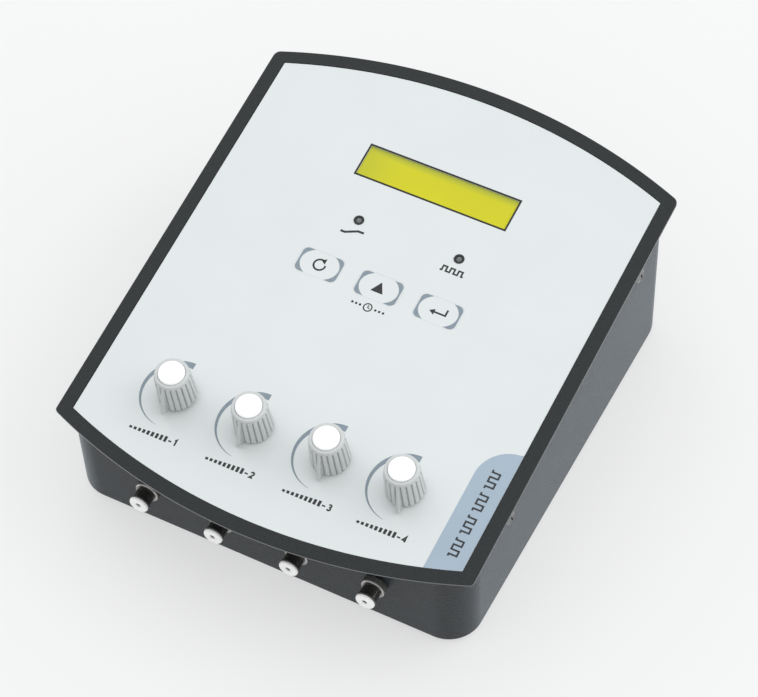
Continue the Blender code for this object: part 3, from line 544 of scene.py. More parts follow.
def put(name, mesh, finish, spot=PANEL, replaces=(), body="case", soften=0.0, even=True):
    """Place a piece, give it its finish and hang it on its body.

    The case's pieces lie in world space, so that their grain runs on from one to the next.
    """
    mesh.materials.clear()
    mesh.materials.append(INK[finish])
    item = new_object(name, mesh)
    if body == "case" and finish != "display":
        mesh.transform(spot)
    else:
        item.matrix_world = spot
    if soften:
        bevel = item.modifiers.new("edges", "BEVEL")
        bevel.width = soften
        bevel.segments = 3
        bevel.limit_method = "ANGLE"
        bevel.angle_limit = math.radians(SHARP)
        bevel.miter_outer = "MITER_ARC"
    if even:
        normals = item.modifiers.new("normals", "WEIGHTED_NORMAL")
        normals.keep_sharp = True
        normals.weight = 90
    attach(item, body)
    if replaces:
        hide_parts(*replaces)


def keep(node, finish):
    """A CAD node that stays, with a finish of its own."""
    item = frame["nodes"][node]
    item.data.materials.clear()
    item.data.materials.append(INK[finish])


# --- case
def base_outline(inset=0.0):
    width = 2.0 * (BASE_HALF_WIDTH - inset)
    depth = BASE_REAR - BASE_FRONT - 2.0 * inset
    return rounded_rectangle(width, depth, BASE_CORNER - inset, steps=20)


FRONT_WALL = turned(90.0, "X")
REAR_WALL = turned(180.0, "Z") @ FRONT_WALL


def node_centre(node):
    low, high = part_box(node)
    return 0.5 * (low + high)


def socket_place(index):
    x = node_centre(f"output_socket_{index}").x
    return at(x, BASE_FRONT - WALL_DRAFT * SOCKET_Z, SOCKET_Z) @ FRONT_WALL


def rear_place(node, height):
    x = node_centre(node).x
    return at(x, BASE_REAR + WALL_DRAFT * height, height) @ REAR_WALL


def make_base():
    """The tray is made with its foot centred on the origin, so that the draft spreads it evenly."""
    middle = 0.5 * (BASE_FRONT + BASE_REAR)
    back = at(0.0, -middle, 0.0)
    spread = 1.0 + WALL_DRAFT * (BASE_TOP - FOOT_HEIGHT) / BASE_HALF_WIDTH
    body = prism(base_outline(), FOOT_HEIGHT, BASE_TOP, spread, bottom_edge=BASE_EDGE, segments=5)
    hollow = prism(base_outline(BASE_WALL), FOOT_HEIGHT + BASE_FLOOR, BASE_TOP + 0.002, spread)
    slope = moved(prism(rectangle(0.30, 0.30), -COVER_THICKNESS - 0.0003, 0.04), back @ PANEL)
    holes = []
    for index in range(1, 5):
        holes.append(moved(prism(circle(SOCKET_HOLE, 40), -0.006, 0.006), back @ socket_place(index)))
    for node, width, height in (("mains_inlet", 0.0276, 0.0204), ("power_switch_housing", 0.0198, 0.0138)):
        hole = prism(rectangle(width, height), -0.006, 0.006)
        holes.append(moved(hole, back @ rear_place(node, node_centre(node).z)))
    for side in ("left", "right"):
        for end in ("front", "rear"):
            screw, foot = node_centre(f"cover_screw_{side}_{end}"), node_centre(f"foot_{end}_{side}")
            hole = prism(circle(SCREW_HOLE, 24), -0.008, 0.008)
            holes.append(moved(hole, back @ at(*screw) @ turned(90.0, "Y")))
            holes.append(moved(prism(circle(FOOT_HOLE, 24), 0.0, 0.01), back @ at(foot.x, foot.y, 0.0)))
    mesh = built(body, [(CUT, hollow), (CUT, slope), (CUT, joined(holes))])
    put("base_shell_skin", mesh, "case", at(0.0, middle, 0.0), ("base_shell",))


def seat_outline(inset, depth):
    front = along_panel(BASE_FRONT + inset, depth)
    rear = along_panel(BASE_REAR - inset, depth)
    centre = (0.0, 0.5 * (front + rear))
    return rounded_rectangle(2.0 * (BASE_HALF_WIDTH - inset), rear - front, BASE_CORNER - inset, centre, 16)


def panel_holes(window=WINDOW):
    holes = [rectangle(*window, WINDOW_CENTRE)]
    holes += [rounded_rectangle(*KEY_HOLE, (x, KEY_Y)) for x in KEY_X.values()]
    holes += [circle(0.0038, 40, (x, KNOB_Y)) for x in KNOB_X]
    holes += [circle(COLLAR_RADIUS, 40, (x, LAMP_Y)) for x in LAMP_X.values()]
    return holes


def make_cover():
    outline = bowed_outline(COVER_HALF_WIDTH - BAND_DEPTH, COVER_BOW - BAND_DEPTH, COVER_CORNERS)
    cover = prism(outline, -COVER_LIP, 0.0, top_edge=COVER_EDGE, bottom_edge=0.0001, segments=4)
    seat = prism(seat_outline(0.0006, -COVER_LIP), -COVER_THICKNESS, -0.5 * COVER_LIP)
    tongue = prism(seat_outline(BASE_WALL + 0.0008, -0.004), TONGUE_LOW, -COVER_THICKNESS + 0.001)
    hollow = prism(seat_outline(BASE_WALL + 0.0028, -0.004), TONGUE_LOW - 0.001, -COVER_THICKNESS)
    lugs, screw_holes = [], []
    for side in (-1, 1):
        for y in (along_panel(world_y, -SCREW_DEPTH) for world_y in SCREW_Y):
            lugs.append(rectangle(0.0045, 0.0110, (side * LUG_X, y)))
            place = at(side * SCREW_WALL, y, -SCREW_DEPTH) @ turned(90.0 * side, "Y")
            screw_holes.append(moved(prism(circle(SCREW_HOLE, 24), -0.008, 0.004), place))
    recess = prism(bowed_outline(FILM_HALF_WIDTH + RECESS_GAP, FILM_BOW + RECESS_GAP),
                   FILM_TOP - FILM_THICKNESS - 0.0001, 0.005)
    mesh = built(cover, [
        (ADD, seat), (ADD, tongue), (CUT, hollow),
        (ADD, prisms(lugs, -(SCREW_DEPTH + 0.0045), -COVER_THICKNESS + 0.0008)),
        (CUT, recess), (CUT, prisms(panel_holes(COVER_OPENING), -0.010, 0.005)),
        (CUT, joined(screw_holes))])
    put("top_cover_skin", mesh, "lid", replaces=("top_cover",))
    rim = [bowed_outline(COVER_HALF_WIDTH - inset, COVER_BOW - inset, COVER_CORNERS)
           for inset in (0.0, 2 * BAND_DEPTH)]
    put("top_cover_edge", plate(rim, -COVER_LIP + 0.00012, -COVER_EDGE - 0.00002), "case_edge", even=False)


def make_overlay():
    loops = [bowed_outline(FILM_HALF_WIDTH, FILM_BOW)] + panel_holes()
    film = plate(loops, FILM_TOP - FILM_THICKNESS, FILM_TOP)
    put("overlay_film_sheet", film, "film", replaces=("front_overlay",), even=False)


# --- prints
def print_on(name, loops, finish="ink_black", body="case"):
    """A printed mark, laid on the film."""
    low = FILM_TOP + PRINT_LIFT
    put(name, plate(loops, low, low + HAIR), finish, body=body, even=False)


def stroke(points, width, closed=False):
    """A line of even width as one closed loop, or two loops when it is closed."""
    sides = ([], [])
    count = len(points)
    for index, point in enumerate(points):
        here = Vector(point)
        before = Vector(points[index - 1]) if index or closed else here
        after = Vector(points[(index + 1) % count]) if index < count - 1 or closed else here
        first = (here - before).normalized() if before != here else (after - here).normalized()
        second = (after - here).normalized() if after != here else first
        along = (first + second).normalized()
        across = Vector((-along.y, along.x))
        reach = 0.5 * width / max(0.35, abs(across.dot(Vector((-first.y, first.x)))))
        sides[0].append(tuple(here + across * reach))
        sides[1].append(tuple(here - across * reach))
    if closed:
        return [sides[0], sides[1]]
    return [sides[0] + sides[1][::-1]]


def crescent(x):
    """Scale of a knob: a line that swells clockwise from the bottom and is cut off at the top."""
    radius, steps = 0.01425, 60
    outer, inner = [], []
    for step in range(steps + 1):
        share = step / steps
        degrees = -96.0 - 174.6 * share
        outer.append(polar(radius, degrees, x, SCALE_Y))
        inner.append(polar(radius - 0.00012 - 0.0024 * share, degrees, x, SCALE_Y))
    return [outer + inner[::-1]]


def key_brackets(x):
    """Round-cornered frame of a key, cut away inside by an ellipse."""
    half_width, half_depth, corner = 0.0086, 0.00525, 0.0022
    across, up = 0.00785, 0.0062
    meet = across * math.sqrt(1.0 - (half_depth / up) ** 2)
    bend = math.degrees(math.asin(half_depth / up))
    loops = []
    for side in (-1, 1):
        corner_x, outward = side * (half_width - corner), 90.0 - side * 90.0
        edge = [(side * meet, half_depth)]
        edge += arc((corner_x, half_depth - corner), corner, 90.0, outward, 10)
        edge += arc((corner_x, corner - half_depth), corner, outward, 90.0 - side * 180.0, 10)
        edge.append((side * meet, -half_depth))
        for step in range(1, 28):
            angle = math.radians(-bend + 2.0 * bend * step / 28)
            edge.append((side * across * math.cos(angle), up * math.sin(angle)))
        loops.append(shifted(edge, x, KEY_Y))
    return loops


def make_key_marks():
    for name, x in KEY_X.items():
        print_on(name + "_brackets", key_brackets(x), "ink_blue", name)
    arrow = [(-0.0026, -0.0020), (0.0025, -0.0020), (0.0001, 0.0027)]
    print_on("key_time_arrow", [shifted(arrow, KEY_X["key_time"], KEY_Y)], "ink_black", "key_time")
    line = 0.00075
    centre = (KEY_X["key_reset"], KEY_Y)
    turn_back = stroke(arc(centre, 0.0023, 60.0, 370.0, 30), line)
    head = shifted([(0.0017, 0.0033), (0.0017, 0.0008), (-0.0002, 0.0021)], *centre)
    print_on("key_reset_ring", turn_back, "ink_black", "key_reset")
    print_on("key_reset_head", [head], "ink_black", "key_reset")
    centre = (KEY_X["key_enter"], KEY_Y)
    hook = stroke(shifted([(0.0032, 0.0019), (0.0032, -0.0007), (-0.0014, -0.0007)], *centre), line)
    print_on("key_enter_hook", hook, "ink_black", "key_enter")
    head = shifted([(-0.0034, -0.0007), (-0.0013, 0.0006), (-0.0013, -0.0020)], *centre)
    print_on("key_enter_head", [head], "ink_black", "key_enter")


def pulse_train(x, y, count, pitch, height, line):
    """A square wave centred on a point."""
    start, low, high = x - 0.5 * count * pitch, y - 0.5 * height, y + 0.5 * height
    points = [(start, low)]
    for index in range(count):
        rise = start + (index + 0.25) * pitch
        fall = start + (index + 0.75) * pitch
        points += [(rise, low), (rise, high), (fall, high), (fall, low)]
    points.append((start + count * pitch, low))
    return stroke(points, line)


def bars_mark(x, y):
    """Nine bars of rising height, the sign for a stronger output."""
    loops = []
    for index in range(9):
        height = 0.0010 + 0.000175 * index
        loops.append(rectangle(0.0011, height, (x + 0.00178 * (index - 4), y + 0.5 * height)))
    return loops


DIGIT_HEIGHT = 0.0024
DIGIT_LINE = 0.00066
LEGEND_Y = -0.0820
# Strokes of the numerals one to four on a grid one unit wide and two high.
DIGITS = {
    1: [[(0.15, 1.55), (0.60, 2.0), (0.60, 0.0)]],
    2: [arc((0.55, 1.45), 0.50, 165.0, -25.0, 10) + [(0.05, 0.08), (1.10, 0.08)]],
    3: [arc((0.52, 1.50), 0.45, 150.0, -70.0, 10) + arc((0.52, 0.55), 0.52, 65.0, -150.0, 10)],
    4: [[(0.85, 0.0), (0.85, 2.0), (0.02, 0.62), (1.15, 0.62)]],
}


def numeral(number, x, y):
    unit = 0.5 * DIGIT_HEIGHT
    loops = []
    for points in DIGITS[number]:
        loops += stroke([(x + px * unit, y + py * unit) for px, py in points], DIGIT_LINE)
    return loops


def make_panel_marks():
    for index, x in enumerate(SCALE_X, start=1):
        print_on(f"scale_{index}", crescent(x), "ink_blue")
        print_on(f"level_bars_{index}", bars_mark(x - 0.0022, LEGEND_Y))
        dash = rectangle(0.0013, 0.0006, (x + 0.0068, LEGEND_Y + 0.0010))
        print_on(f"level_dash_{index}", [dash])
        print_on(f"level_number_{index}", numeral(index, x + 0.0084, LEGEND_Y))
    ramp = stroke([(-0.0044, -0.0010), (-0.0026, -0.0010), (0.0020, 0.0012), (0.0044, 0.0012)], 0.00095)
    print_on("ramp_mark", [shifted(loop, LAMP_X["ramp_lamp"], LAMP_MARK_Y) for loop in ramp])
    pulses = pulse_train(LAMP_X["pulse_lamp"], LAMP_MARK_Y, 3, 0.0032, 0.0020, 0.0007)
    print_on("pulse_mark", pulses)
    print_on("time_ring", stroke(circle(0.0016, 32, (0.0, CLOCK_Y)), 0.0005, closed=True))
    hands = [(0.0, CLOCK_Y + 0.0010), (0.0, CLOCK_Y), (0.0008, CLOCK_Y - 0.0003)]
    print_on("time_hands", stroke(hands, 0.0004))
    dots = [circle(0.00050, 16, (side * x, CLOCK_Y)) for side in (-1, 1) for x in (0.0032, 0.0048, 0.0064)]
    print_on("time_dots", dots)


def make_tab():
    """Blue corner patch with a wave for each of the four outputs."""
    left, top, corner_top = 0.0666, -0.0332, -0.0470
    bow_centre = BOW_RADIUS - FILM_BOW
    reach = BOW_RADIUS - 0.00005
    outline = []
    edge = FILM_HALF_WIDTH - 0.00005
    for step in range(13):
        x = left + (edge - left) * step / 12
        outline.append((x, bow_centre - math.sqrt(reach ** 2 - x ** 2)))
    outline.append((edge, top))
    outline += arc((edge, corner_top), edge - left, 90.0, 180.0, 24)[1:]
    print_on("tab_patch", [outline], "ink_tab")
    low = FILM_TOP + PRINT_LIFT + HAIR + PRINT_LIFT
    for index in range(4):
        wave = plate(pulse_train(0.0, 0.0, 2, 0.0040, 0.0031, 0.0007), low, low + HAIR)
        spot = at(0.0740, -0.0468 - 0.0098 * index, 0.0)
        put(f"tab_wave_{index + 1}", wave, "ink_black", PANEL @ spot @ turned(-90.0, "Z"), even=False)


# --- keys and display
def make_keys():
    width, depth, corner = KEY_HOLE
    pad = rounded_rectangle(width - 2 * KEY_SEAM, depth - 2 * KEY_SEAM, corner - KEY_SEAM)
    lip = rounded_rectangle(width + 0.0022, depth + 0.0022, corner)
    face = prism(pad, -0.0038, FILM_TOP, top_edge=0.00003, segments=2)
    flange = prism(lip, -0.0045, -0.0035, top_edge=0.0002, bottom_edge=0.0002)
    profile = [(0.0, -0.0040), (0.0017, -0.0040), (0.0017, -0.0064), (0.0015, -0.0066), (0.0, -0.0066)]
    mesh = built(face, [(ADD, flange), (ADD, lathe(profile, 32))])
    for name, x in KEY_X.items():
        put(name + "_pad", mesh.copy(), "film", PANEL @ at(x, KEY_Y, 0.0), (name,), name)


def make_display():
    window = prism(rectangle(*PANE), -0.0028, FILM_TOP - FILM_THICKNESS - 0.00006)
    put("display_pane", window, "display", PANEL @ at(*WINDOW_CENTRE, 0.0), ("display_window",))
    clear = (WINDOW[0] + 0.00002, WINDOW[1] + 0.00002)
    loops = [rectangle(*size, WINDOW_CENTRE) for size in (WINDOW_BORDER, clear)]
    print_on("display_border", loops, "ink_border")


def make_lamps():
    dome_base, dome_height = -0.0004, 0.00045
    skirt, skirt_top, skirt_low = LAMP_RADIUS + 0.0002, -0.0044, -0.0052
    profile = [(0.0, dome_base + dome_height)]
    for degrees in range(81, -1, -9):
        angle = math.radians(degrees)
        profile.append((LAMP_RADIUS * math.cos(angle), dome_base + dome_height * math.sin(angle)))
    profile += [(LAMP_RADIUS, skirt_top), (skirt, skirt_top), (skirt, skirt_low), (0.0, skirt_low)]
    leads = prisms([rectangle(0.0005, 0.0005, (x, 0.0)) for x in (-0.00127, 0.00127)], -0.0119, -0.0050)
    lamp = joined([lathe(profile, 40), leads])
    inner = LAMP_RADIUS + 0.00006
    flange = FILM_TOP + 0.0003
    collar = [(COLLAR_RADIUS + 0.00005, FILM_TOP + 0.00003)]
    collar += arc((COLLAR_RADIUS - 0.00015, flange - 0.0002), 0.0002, 0.0, 90.0)
    collar += arc((inner + 0.0001, flange - 0.0001), 0.0001, 90.0, 180.0)
    collar += [(inner, -0.0008), (0.00165, -0.0012), (0.00165, -0.0042), (COLLAR_RADIUS - 0.0002, -0.0042),
               (COLLAR_RADIUS - 0.0002, FILM_TOP + 0.00003)]
    ring = lathe(collar, 48, ring=True)
    for name, x in LAMP_X.items():
        spot = PANEL @ at(x, LAMP_Y, 0.0)
        put(name + "_dome", lamp.copy(), "lamp", spot, (name,))
        put(name + "_collar_ring", ring.copy(), "black", spot, (name + "_collar",))


# --- knobs
RIB_SAMPLES = (0.0, 0.05, 0.09, 0.13, 0.18, 0.30, 0.42, 0.5, 0.58, 0.70, 0.82, 0.87, 0.91, 0.95)


def groove(share):
    """Depth of a groove across one rib pitch, from 1 at its middle to 0 on the rib."""
    distance = min(share, 1.0 - share)
    t = min(1.0, max(0.0, (distance - 0.05) / 0.11))
    return 1.0 - t * t * (3.0 - 2.0 * t)


def fluted_row(radius, height, depth):
    """A ring round the knob, with grooves if it has a depth."""
    row = []
    pitch = 360.0 / KNOB_FLUTES
    for rib in range(KNOB_FLUTES):
        for share in RIB_SAMPLES:
            crown = 0.00008 * (1.0 - abs(2.0 * share - 1.0) ** 2) if depth else 0.0
            reach = radius + crown - depth * groove(share)
            row.append((*polar(reach, -90.0 + (rib + 0.5 + share) * pitch), height))
    return row


def knob_mesh():
    """Knob with its pointer straight down the panel, origin on the shaft axis."""
    flute_top = KNOB_HEIGHT - KNOB_RING
    top = KNOB_TOP_RADIUS + 0.00025
    rows = [fluted_row(radius, height, share * FLUTE_DEPTH) for radius, height, share in (
        (KNOB_BASE_RADIUS - 0.0004, 0.0, 0.3), (KNOB_BASE_RADIUS - 0.0001, 0.0001, 0.8),
        (KNOB_BASE_RADIUS - 0.00005, 0.0004, 1.0), (0.5 * (KNOB_BASE_RADIUS + top), 0.5 * flute_top, 1.0),
        (top, flute_top - 0.0007, 1.0), (top - 0.00003, flute_top - 0.00035, 1.0),
        (top - 0.00012, flute_top - 0.00012, 0.6), (KNOB_TOP_RADIUS, flute_top, 0.0))]
    ring = arc((KNOB_TOP_RADIUS - 0.0006, KNOB_HEIGHT - 0.0006), 0.0006, 0.0, 90.0, 5)
    ring += [(CAP_RADIUS + 0.0002, KNOB_HEIGHT), (CAP_RADIUS + 0.0001, KNOB_HEIGHT - 0.0001),
             (CAP_RADIUS + 0.0001, KNOB_HEIGHT - 0.0011)]
    rows += [fluted_row(radius, height, 0.0) for radius, height in ring]
    rows.append([(0.0, 0.0, KNOB_HEIGHT - 0.0011)])
    inside = [(0.0062, 0.0), (0.0062, 0.0042), (0.0033, 0.0042), (0.0033, 0.0125)]
    bore = [fluted_row(radius, height, 0.0) for radius, height in inside[::-1]]
    body = rows_mesh([[(0.0, 0.0, 0.0125)]] + bore + rows)
    side = [(-0.0058, 0.0001), (-FIN_REACH + 0.0003, 0.0001), (-FIN_REACH, 0.0004), (-FIN_REACH, 0.0008)]
    side += [(-0.0070, flute_top - 0.0016), (-0.0066, flute_top - 0.0009), (-0.0058, flute_top - 0.0008)]
    fin = rounded(moved(prism(side, -0.00060, 0.00060), SIDEWAYS), 0.00030)
    return joined([body, fin])


def cap_mesh():
    """A shallow glossy dome."""
    radius = CAP_RADIUS - 0.00005
    low, rim, crown = KNOB_HEIGHT - 0.0008, KNOB_HEIGHT + 0.0001, KNOB_HEIGHT + 0.0008
    profile = [(0.0, crown)]
    for step in range(1, 9):
        share = step / 9
        profile.append((radius * 0.94 * share, crown - 0.00018 * share ** 2))
    profile += arc((radius - 0.0005, rim), 0.0005, 75.0, 0.0, 5)
    return lathe(profile + [(radius, low), (0.0, low)])


def make_knobs():
    knob, cap = knob_mesh(), cap_mesh()
    for index, degrees in enumerate(KNOB_POINTER, start=1):
        spot = at(*KNOB_AXES[index - 1]) @ PANEL.to_3x3().to_4x4() @ turned(-degrees, "Z")
        body, node = f"knob_{index}", f"intensity_knob_{index}"
        put(node + "_body", knob.copy(), "knob", spot, (node,), body, even=False)
        put(f"knob_cap_{index}_disc", cap.copy(), "cap", spot, (f"knob_cap_{index}",), body)
        keep(f"potentiometer_{index}", "can")
        keep(f"potentiometer_shaft_{index}", "nickel")


# --- sockets
def threaded(radius, low, high, pitch, depth):
    """Profile of a thread, as rings, from high to low."""
    points = []
    count = int((high - low) / pitch)
    for index in range(count):
        top = high - index * pitch
        points += [(radius - depth, top), (radius, top - 0.35 * pitch), (radius, top - 0.65 * pitch)]
    points.append((radius - depth, high - count * pitch))
    return points


def socket_meshes():
    """Local Z points out of the wall; zero is the wall's face."""
    flange, rim, inside_end = SOCKET_REACH - 0.0012, 0.0039, -0.0074
    body = [(0.0026, flange)] + arc((rim - 0.0002, flange - 0.0002), 0.0002, 90.0, 0.0)
    body += arc((rim - 0.0002, flange - 0.0007), 0.0002, 0.0, -60.0)
    body += [(0.0034, flange - 0.0008), (SOCKET_NECK, flange - 0.0006), (SOCKET_NECK, 0.0036)]
    body += [(0.00345, 0.0035), (0.0030, 0.0035)]
    body += threaded(0.00305, -0.0060, 0.0033, 0.0005, 0.00014)
    body += [(0.0030, inside_end + 0.0002), (0.0029, inside_end), (0.0026, inside_end)]
    metal = lathe(body, ring=True)
    face, bore = 0.0038, 0.0011
    stem_end = inside_end - 0.0010
    disc = [(0.0023, SOCKET_REACH), (0.0024, SOCKET_REACH - 0.0002), (0.0027, SOCKET_REACH - 0.0002),
            (0.0028, SOCKET_REACH)]
    disc += arc((face - 0.0006, SOCKET_REACH - 0.0006), 0.0006, 90.0, 0.0, 5)
    disc += [(face, flange + 0.0003), (0.0025, flange + 0.0003), (0.0025, stem_end), (0.0016, stem_end)]
    disc += [(0.0016, SOCKET_REACH - 0.0009), (bore, SOCKET_REACH - 0.0007), (bore, SOCKET_REACH - 0.0002)]
    disc += arc((0.0013, SOCKET_REACH - 0.0002), 0.0002, 180.0, 90.0, 3)
    return metal, lathe(disc, ring=True)


def nut_mesh():
    """Round nut with a knurled rim."""
    outer, inner, low, high = 0.0049, 0.0033, 0.0003, 0.0033
    teeth, steps = 40, 160
    rows = []
    for radius, height, depth in (
            (inner, low, 0.0), (outer - 0.0004, low, 0.0), (outer - 0.0001, low + 0.0003, 0.0002),
            (outer - 0.0001, high - 0.0004, 0.0002), (outer - 0.0005, high, 0.0), (inner, high, 0.0)):
        row = []
        for index in range(steps):
            angle = 2.0 * math.pi * index / steps
            reach = radius - depth * (0.5 - 0.5 * math.cos(teeth * angle))
            row.append((reach * math.cos(angle), reach * math.sin(angle), height))
        rows.append(row)
    return rows_mesh(rows, closed_ring=True)


def make_sockets():
    metal, disc = socket_meshes()
    nut = nut_mesh()
    front = SOCKET_REACH - 0.0010       # of the dark sprung sleeve just inside the hole
    contact = lathe([(0.00155, front), (0.00155, 0.0), (0.0011, 0.0), (0.0011, front)], 32, ring=True)
    edge = lathe([(0.00450, 0.0033), (0.0044, 0.0034), (0.00433, 0.0034), (0.00435, 0.0032)], ring=True)
    # A light strip along each barrel's neck: a painted highlight, for the streak of reflected light on the
    # glossy neck.
    highlight_strip = prism(rectangle(0.00050, 0.0041), -0.00010, 0.00010, top_edge=0.00008)
    upright = Matrix(((1, 0, 0, 0), (0, 0, 1, SOCKET_NECK), (0, 1, 0, 0.00570), (0, 0, 0, 1)))
    for index, degrees in enumerate(HIGHLIGHT_STRIP_ANGLES, start=1):
        spot = socket_place(index)
        socket, insulator, ring = f"output_socket_{index}", f"socket_insulator_{index}", f"socket_nut_{index}"
        put(socket + "_barrel", metal.copy(), "dark_nickel", spot, (socket,), even=False)
        put(insulator + "_disc", disc.copy(), "nylon", spot, (insulator,))
        put(f"socket_contact_{index}", contact.copy(), "black", spot)
        put(ring + "_knurled", nut.copy(), "nut", spot, (ring,), even=False)
        put(ring + "_rim", edge.copy(), "nickel", spot)
        put(socket + "_highlight_strip", highlight_strip.copy(), "can", spot @ turned(degrees, "Z") @ upright)


# --- rear wall
def make_inlet():
    spot = rear_place("mains_inlet", node_centre("mains_inlet").z)
    flange = prism(rounded_rectangle(0.0310, 0.0236, 0.0020), 0.0003, 0.0028, top_edge=0.0006, segments=4)
    block = prism(rectangle(0.0270, 0.0198), -0.0200, 0.0010)
    half_x, half_y, slant = 0.0120, 0.0080, 0.0045
    mouth = [(-half_x, half_y - slant), (-half_x, -half_y), (half_x, -half_y), (half_x, half_y - slant),
             (half_x - slant, half_y), (-half_x + slant, half_y)]
    shell = built(block, [(ADD, flange), (CUT, prism(mouth, -0.0175, 0.010))])
    put("mains_inlet_housing", shell, "black", spot, ("mains_inlet",), soften=0.0002)
    pins = prisms([rectangle(0.0020, 0.0040, place) for place in PIN_PLACES], -0.0174, -0.0020)
    put("mains_inlet_pins", rounded(pins, 0.0004), "nickel", spot)


def rocker_height(share):
    """Height of the hollowed rocker face, from its ridge at 0 to its end at 1."""
    return 0.0012 + 0.0009 * share - 0.00055 * math.sin(math.pi * share)


def make_switch():
    spot = rear_place("power_switch_housing", SWITCH_HINGE[2])
    flange = prism(rounded_rectangle(0.0212, 0.0152, 0.0012), 0.0003, 0.0021, top_edge=0.0005, segments=4)
    block = prism(rectangle(0.0192, 0.0132), -0.0130, 0.0010)
    well = prism(rectangle(0.0164, 0.0108), -0.0080, 0.010)
    housing = built(block, [(ADD, flange), (CUT, well)])
    put("power_switch_frame", housing, "black", spot, ("power_switch_housing",), soften=0.00015)
    half = 0.0048
    side = [(-half, -0.0030), (half, -0.0030), (half, 0.0021)]
    for step in range(1, 12):
        share = 1.0 - step / 6
        side.append((half * share, rocker_height(abs(share))))
    side.append((-half, 0.0021))
    blade = rounded(moved(prism(side, -0.0079, 0.0079), SIDEWAYS), 0.00025)
    hinge = at(*SWITCH_HINGE) @ REAR_WALL @ turned(SWITCH_LEAN, "X")
    put("power_switch_rocker_blade", blade, "black", hinge, ("power_switch_rocker",), "rocker")
    bar = stroke([(0.0, 0.0004 * step) for step in range(-3, 4)], 0.0006)
    ring = stroke(circle(0.0012, 28), 0.0005, closed=True)
    for name, loops, middle in (("on", bar, 0.0026), ("off", ring, -0.0026)):
        mark = plate(loops, PRINT_LIFT, PRINT_LIFT + HAIR)
        for vertex in mark.vertices:
            vertex.co.y += middle
            vertex.co.z += rocker_height(abs(vertex.co.y) / half) + 0.00002
        put(f"rocker_mark_{name}", mark, "ink_white", hinge, body="rocker", even=False)


# --- screws, feet, inside
def screw_mesh():
    """Pan head with a cross recess; local Z points out of the wall."""
    head, shank = 0.0031, 0.0016
    profile = [(radius, share * SCREW_CROWN) for radius, share in (
        (0.0, 1.0), (0.0010, 0.98), (0.0019, 0.88), (0.0026, 0.64), (0.0030, 0.32),
        (head, 0.16), (head, 0.0))]
    profile += [(shank, 0.0), (shank, -0.0020)] + threaded(shank, -0.0080, -0.0022, 0.0007, 0.00035)
    profile += [(0.0010, -0.0085), (0.0, -0.0085)]
    wedges = [moved(prism(rectangle(0.0034, 0.0007), 0.0003, 0.003), turned(angle, "Z"))
              for angle in (20.0, 110.0)]
    return built(lathe(profile, 48), [(CUT, wedge) for wedge in wedges])


def make_screws():
    mesh = screw_mesh()
    for side_name, side in (("left", -1), ("right", 1)):
        for end_name in ("front", "rear"):
            node = f"cover_screw_{side_name}_{end_name}"
            low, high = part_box(node)
            middle = node_centre(node)
            seat = high.x - SCREW_CROWN if side > 0 else low.x + SCREW_CROWN
            spot = at(seat, middle.y, middle.z) @ turned(90.0 * side, "Y")
            put(node + "_cross_head", mesh.copy(), "screw", spot, (node,), even=False)


def make_feet():
    head_low, pad_top, radius = FOOT_HEIGHT + BASE_FLOOR + 0.0003, FOOT_HEIGHT - 0.0003, 0.0070
    profile = [(0.0, head_low + 0.0018), (0.0018, head_low + 0.0018), (0.0036, head_low + 0.0004),
               (0.0036, head_low), (0.0025, head_low), (0.0025, pad_top)]
    profile += arc((radius - 0.0002, pad_top - 0.0002), 0.0002, 90.0, 0.0)
    profile += arc((radius - 0.0004, 0.0004), 0.0004, 0.0, -90.0)
    profile += [(0.0052, 0.0), (0.0050, 0.0003), (0.0, 0.0003)]
    mesh = lathe(profile, 56)
    for end in ("front", "rear"):
        for side in ("left", "right"):
            node = f"foot_{end}_{side}"
            centre = node_centre(node)
            put(node + "_pad", mesh.copy(), "rubber", at(centre.x, centre.y, 0.0), (node,), even=False)


def finish_inside():
    for node, finish in (("display_frame", "can"), ("display_glass", "display"), ("display_board", "board"),
                         ("control_board", "board"), ("supply_board", "board"), ("display_ribbon", "ribbon"),
                         ("transformer_core", "steel"), ("transformer_winding", "tape")):
        keep(node, finish)


# --- floor and lights
FLOOR_SIZE = 4.0


def make_stage():
    bm = bmesh.new()
    bm.faces.new([bm.verts.new((x, y, 0.0)) for x, y in rectangle(FLOOR_SIZE, FLOOR_SIZE)])
    floor = new_object("floor", to_mesh(bm))
    table = Finish("light_table", (0.34, 0.34, 0.34), 0.90).mottle(3.0, 0.01)
    table.set(Emission_Color=WHITE, Emission_Strength=0.57, IOR=1.2)
    floor.data.materials.append(table.material)


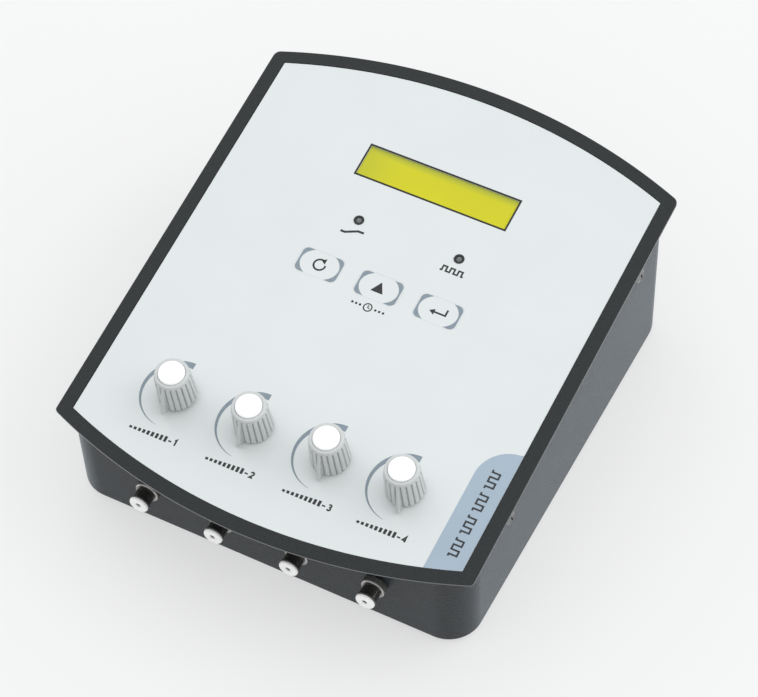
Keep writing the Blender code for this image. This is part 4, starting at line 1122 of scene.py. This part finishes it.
def area_light(name, place, target, size, power):
    lamp = bpy.data.lights.new(name, "AREA")
    lamp.shape = "RECTANGLE"
    lamp.size, lamp.size_y = size
    lamp.energy = power
    item = new_object(name, lamp)
    item.location = place
    item.rotation_euler = (Vector(target) - Vector(place)).to_track_quat("-Z", "Y").to_euler()


def make_lights():
    """An even tent of light, brightest overhead and behind, with two soft boxes at the sides."""
    world = bpy.data.worlds.new("studio")
    world.use_nodes = True
    nodes, links = world.node_tree.nodes, world.node_tree.links
    sky = nodes["Background"]
    sky.inputs["Color"].default_value = (0.97, 0.985, 1.0, 1.0)
    facing = nodes.new("ShaderNodeVectorMath")
    facing.operation = "DOT_PRODUCT"
    facing.inputs[1].default_value = (-0.10, 0.44, 0.89)
    links.new(nodes.new("ShaderNodeTexCoord").outputs["Generated"], facing.inputs[0])
    level = fill(nodes.new("ShaderNodeMapRange"), From_Min=-0.30, From_Max=1.0, To_Min=0.40, To_Max=1.20)
    links.new(facing.outputs["Value"], level.inputs["Value"])
    links.new(level.outputs["Result"], sky.inputs["Strength"])
    bpy.context.scene.world = world
    area_light("left_softbox", (-1.10, 0.55, 0.75), (0.0, 0.0, 0.05), (0.7, 0.7), 1.0)
    area_light("right_softbox", (1.30, 0.45, 1.00), (0.0, 0.0, 0.03), (1.8, 1.8), 8.0)
    bpy.context.scene.view_settings.view_transform = "Standard"


def make_camera():
    """Long lens above the front right corner, where the picture was taken from."""
    lens = bpy.data.cameras.new("camera")
    lens.lens = 150.0
    lens.sensor_width = 36.0
    lens.clip_start = 0.05
    view = new_object("camera", lens)
    right, up, back = (0.88626, 0.46217, -0.03050), (-0.35510, 0.72026, 0.59592), (0.29739, -0.51732, 0.80246)
    view.matrix_world = at(0.35724, -0.61593, 0.98945) @ Matrix((right, up, back)).transposed().to_4x4()
    bpy.context.scene.camera = view


make_base()
make_cover()
make_overlay()
make_key_marks()
make_panel_marks()
make_tab()
make_keys()
make_display()
make_lamps()
make_knobs()
make_sockets()
make_inlet()
make_switch()
make_screws()
make_feet()
finish_inside()
make_stage()
make_lights()
make_camera()
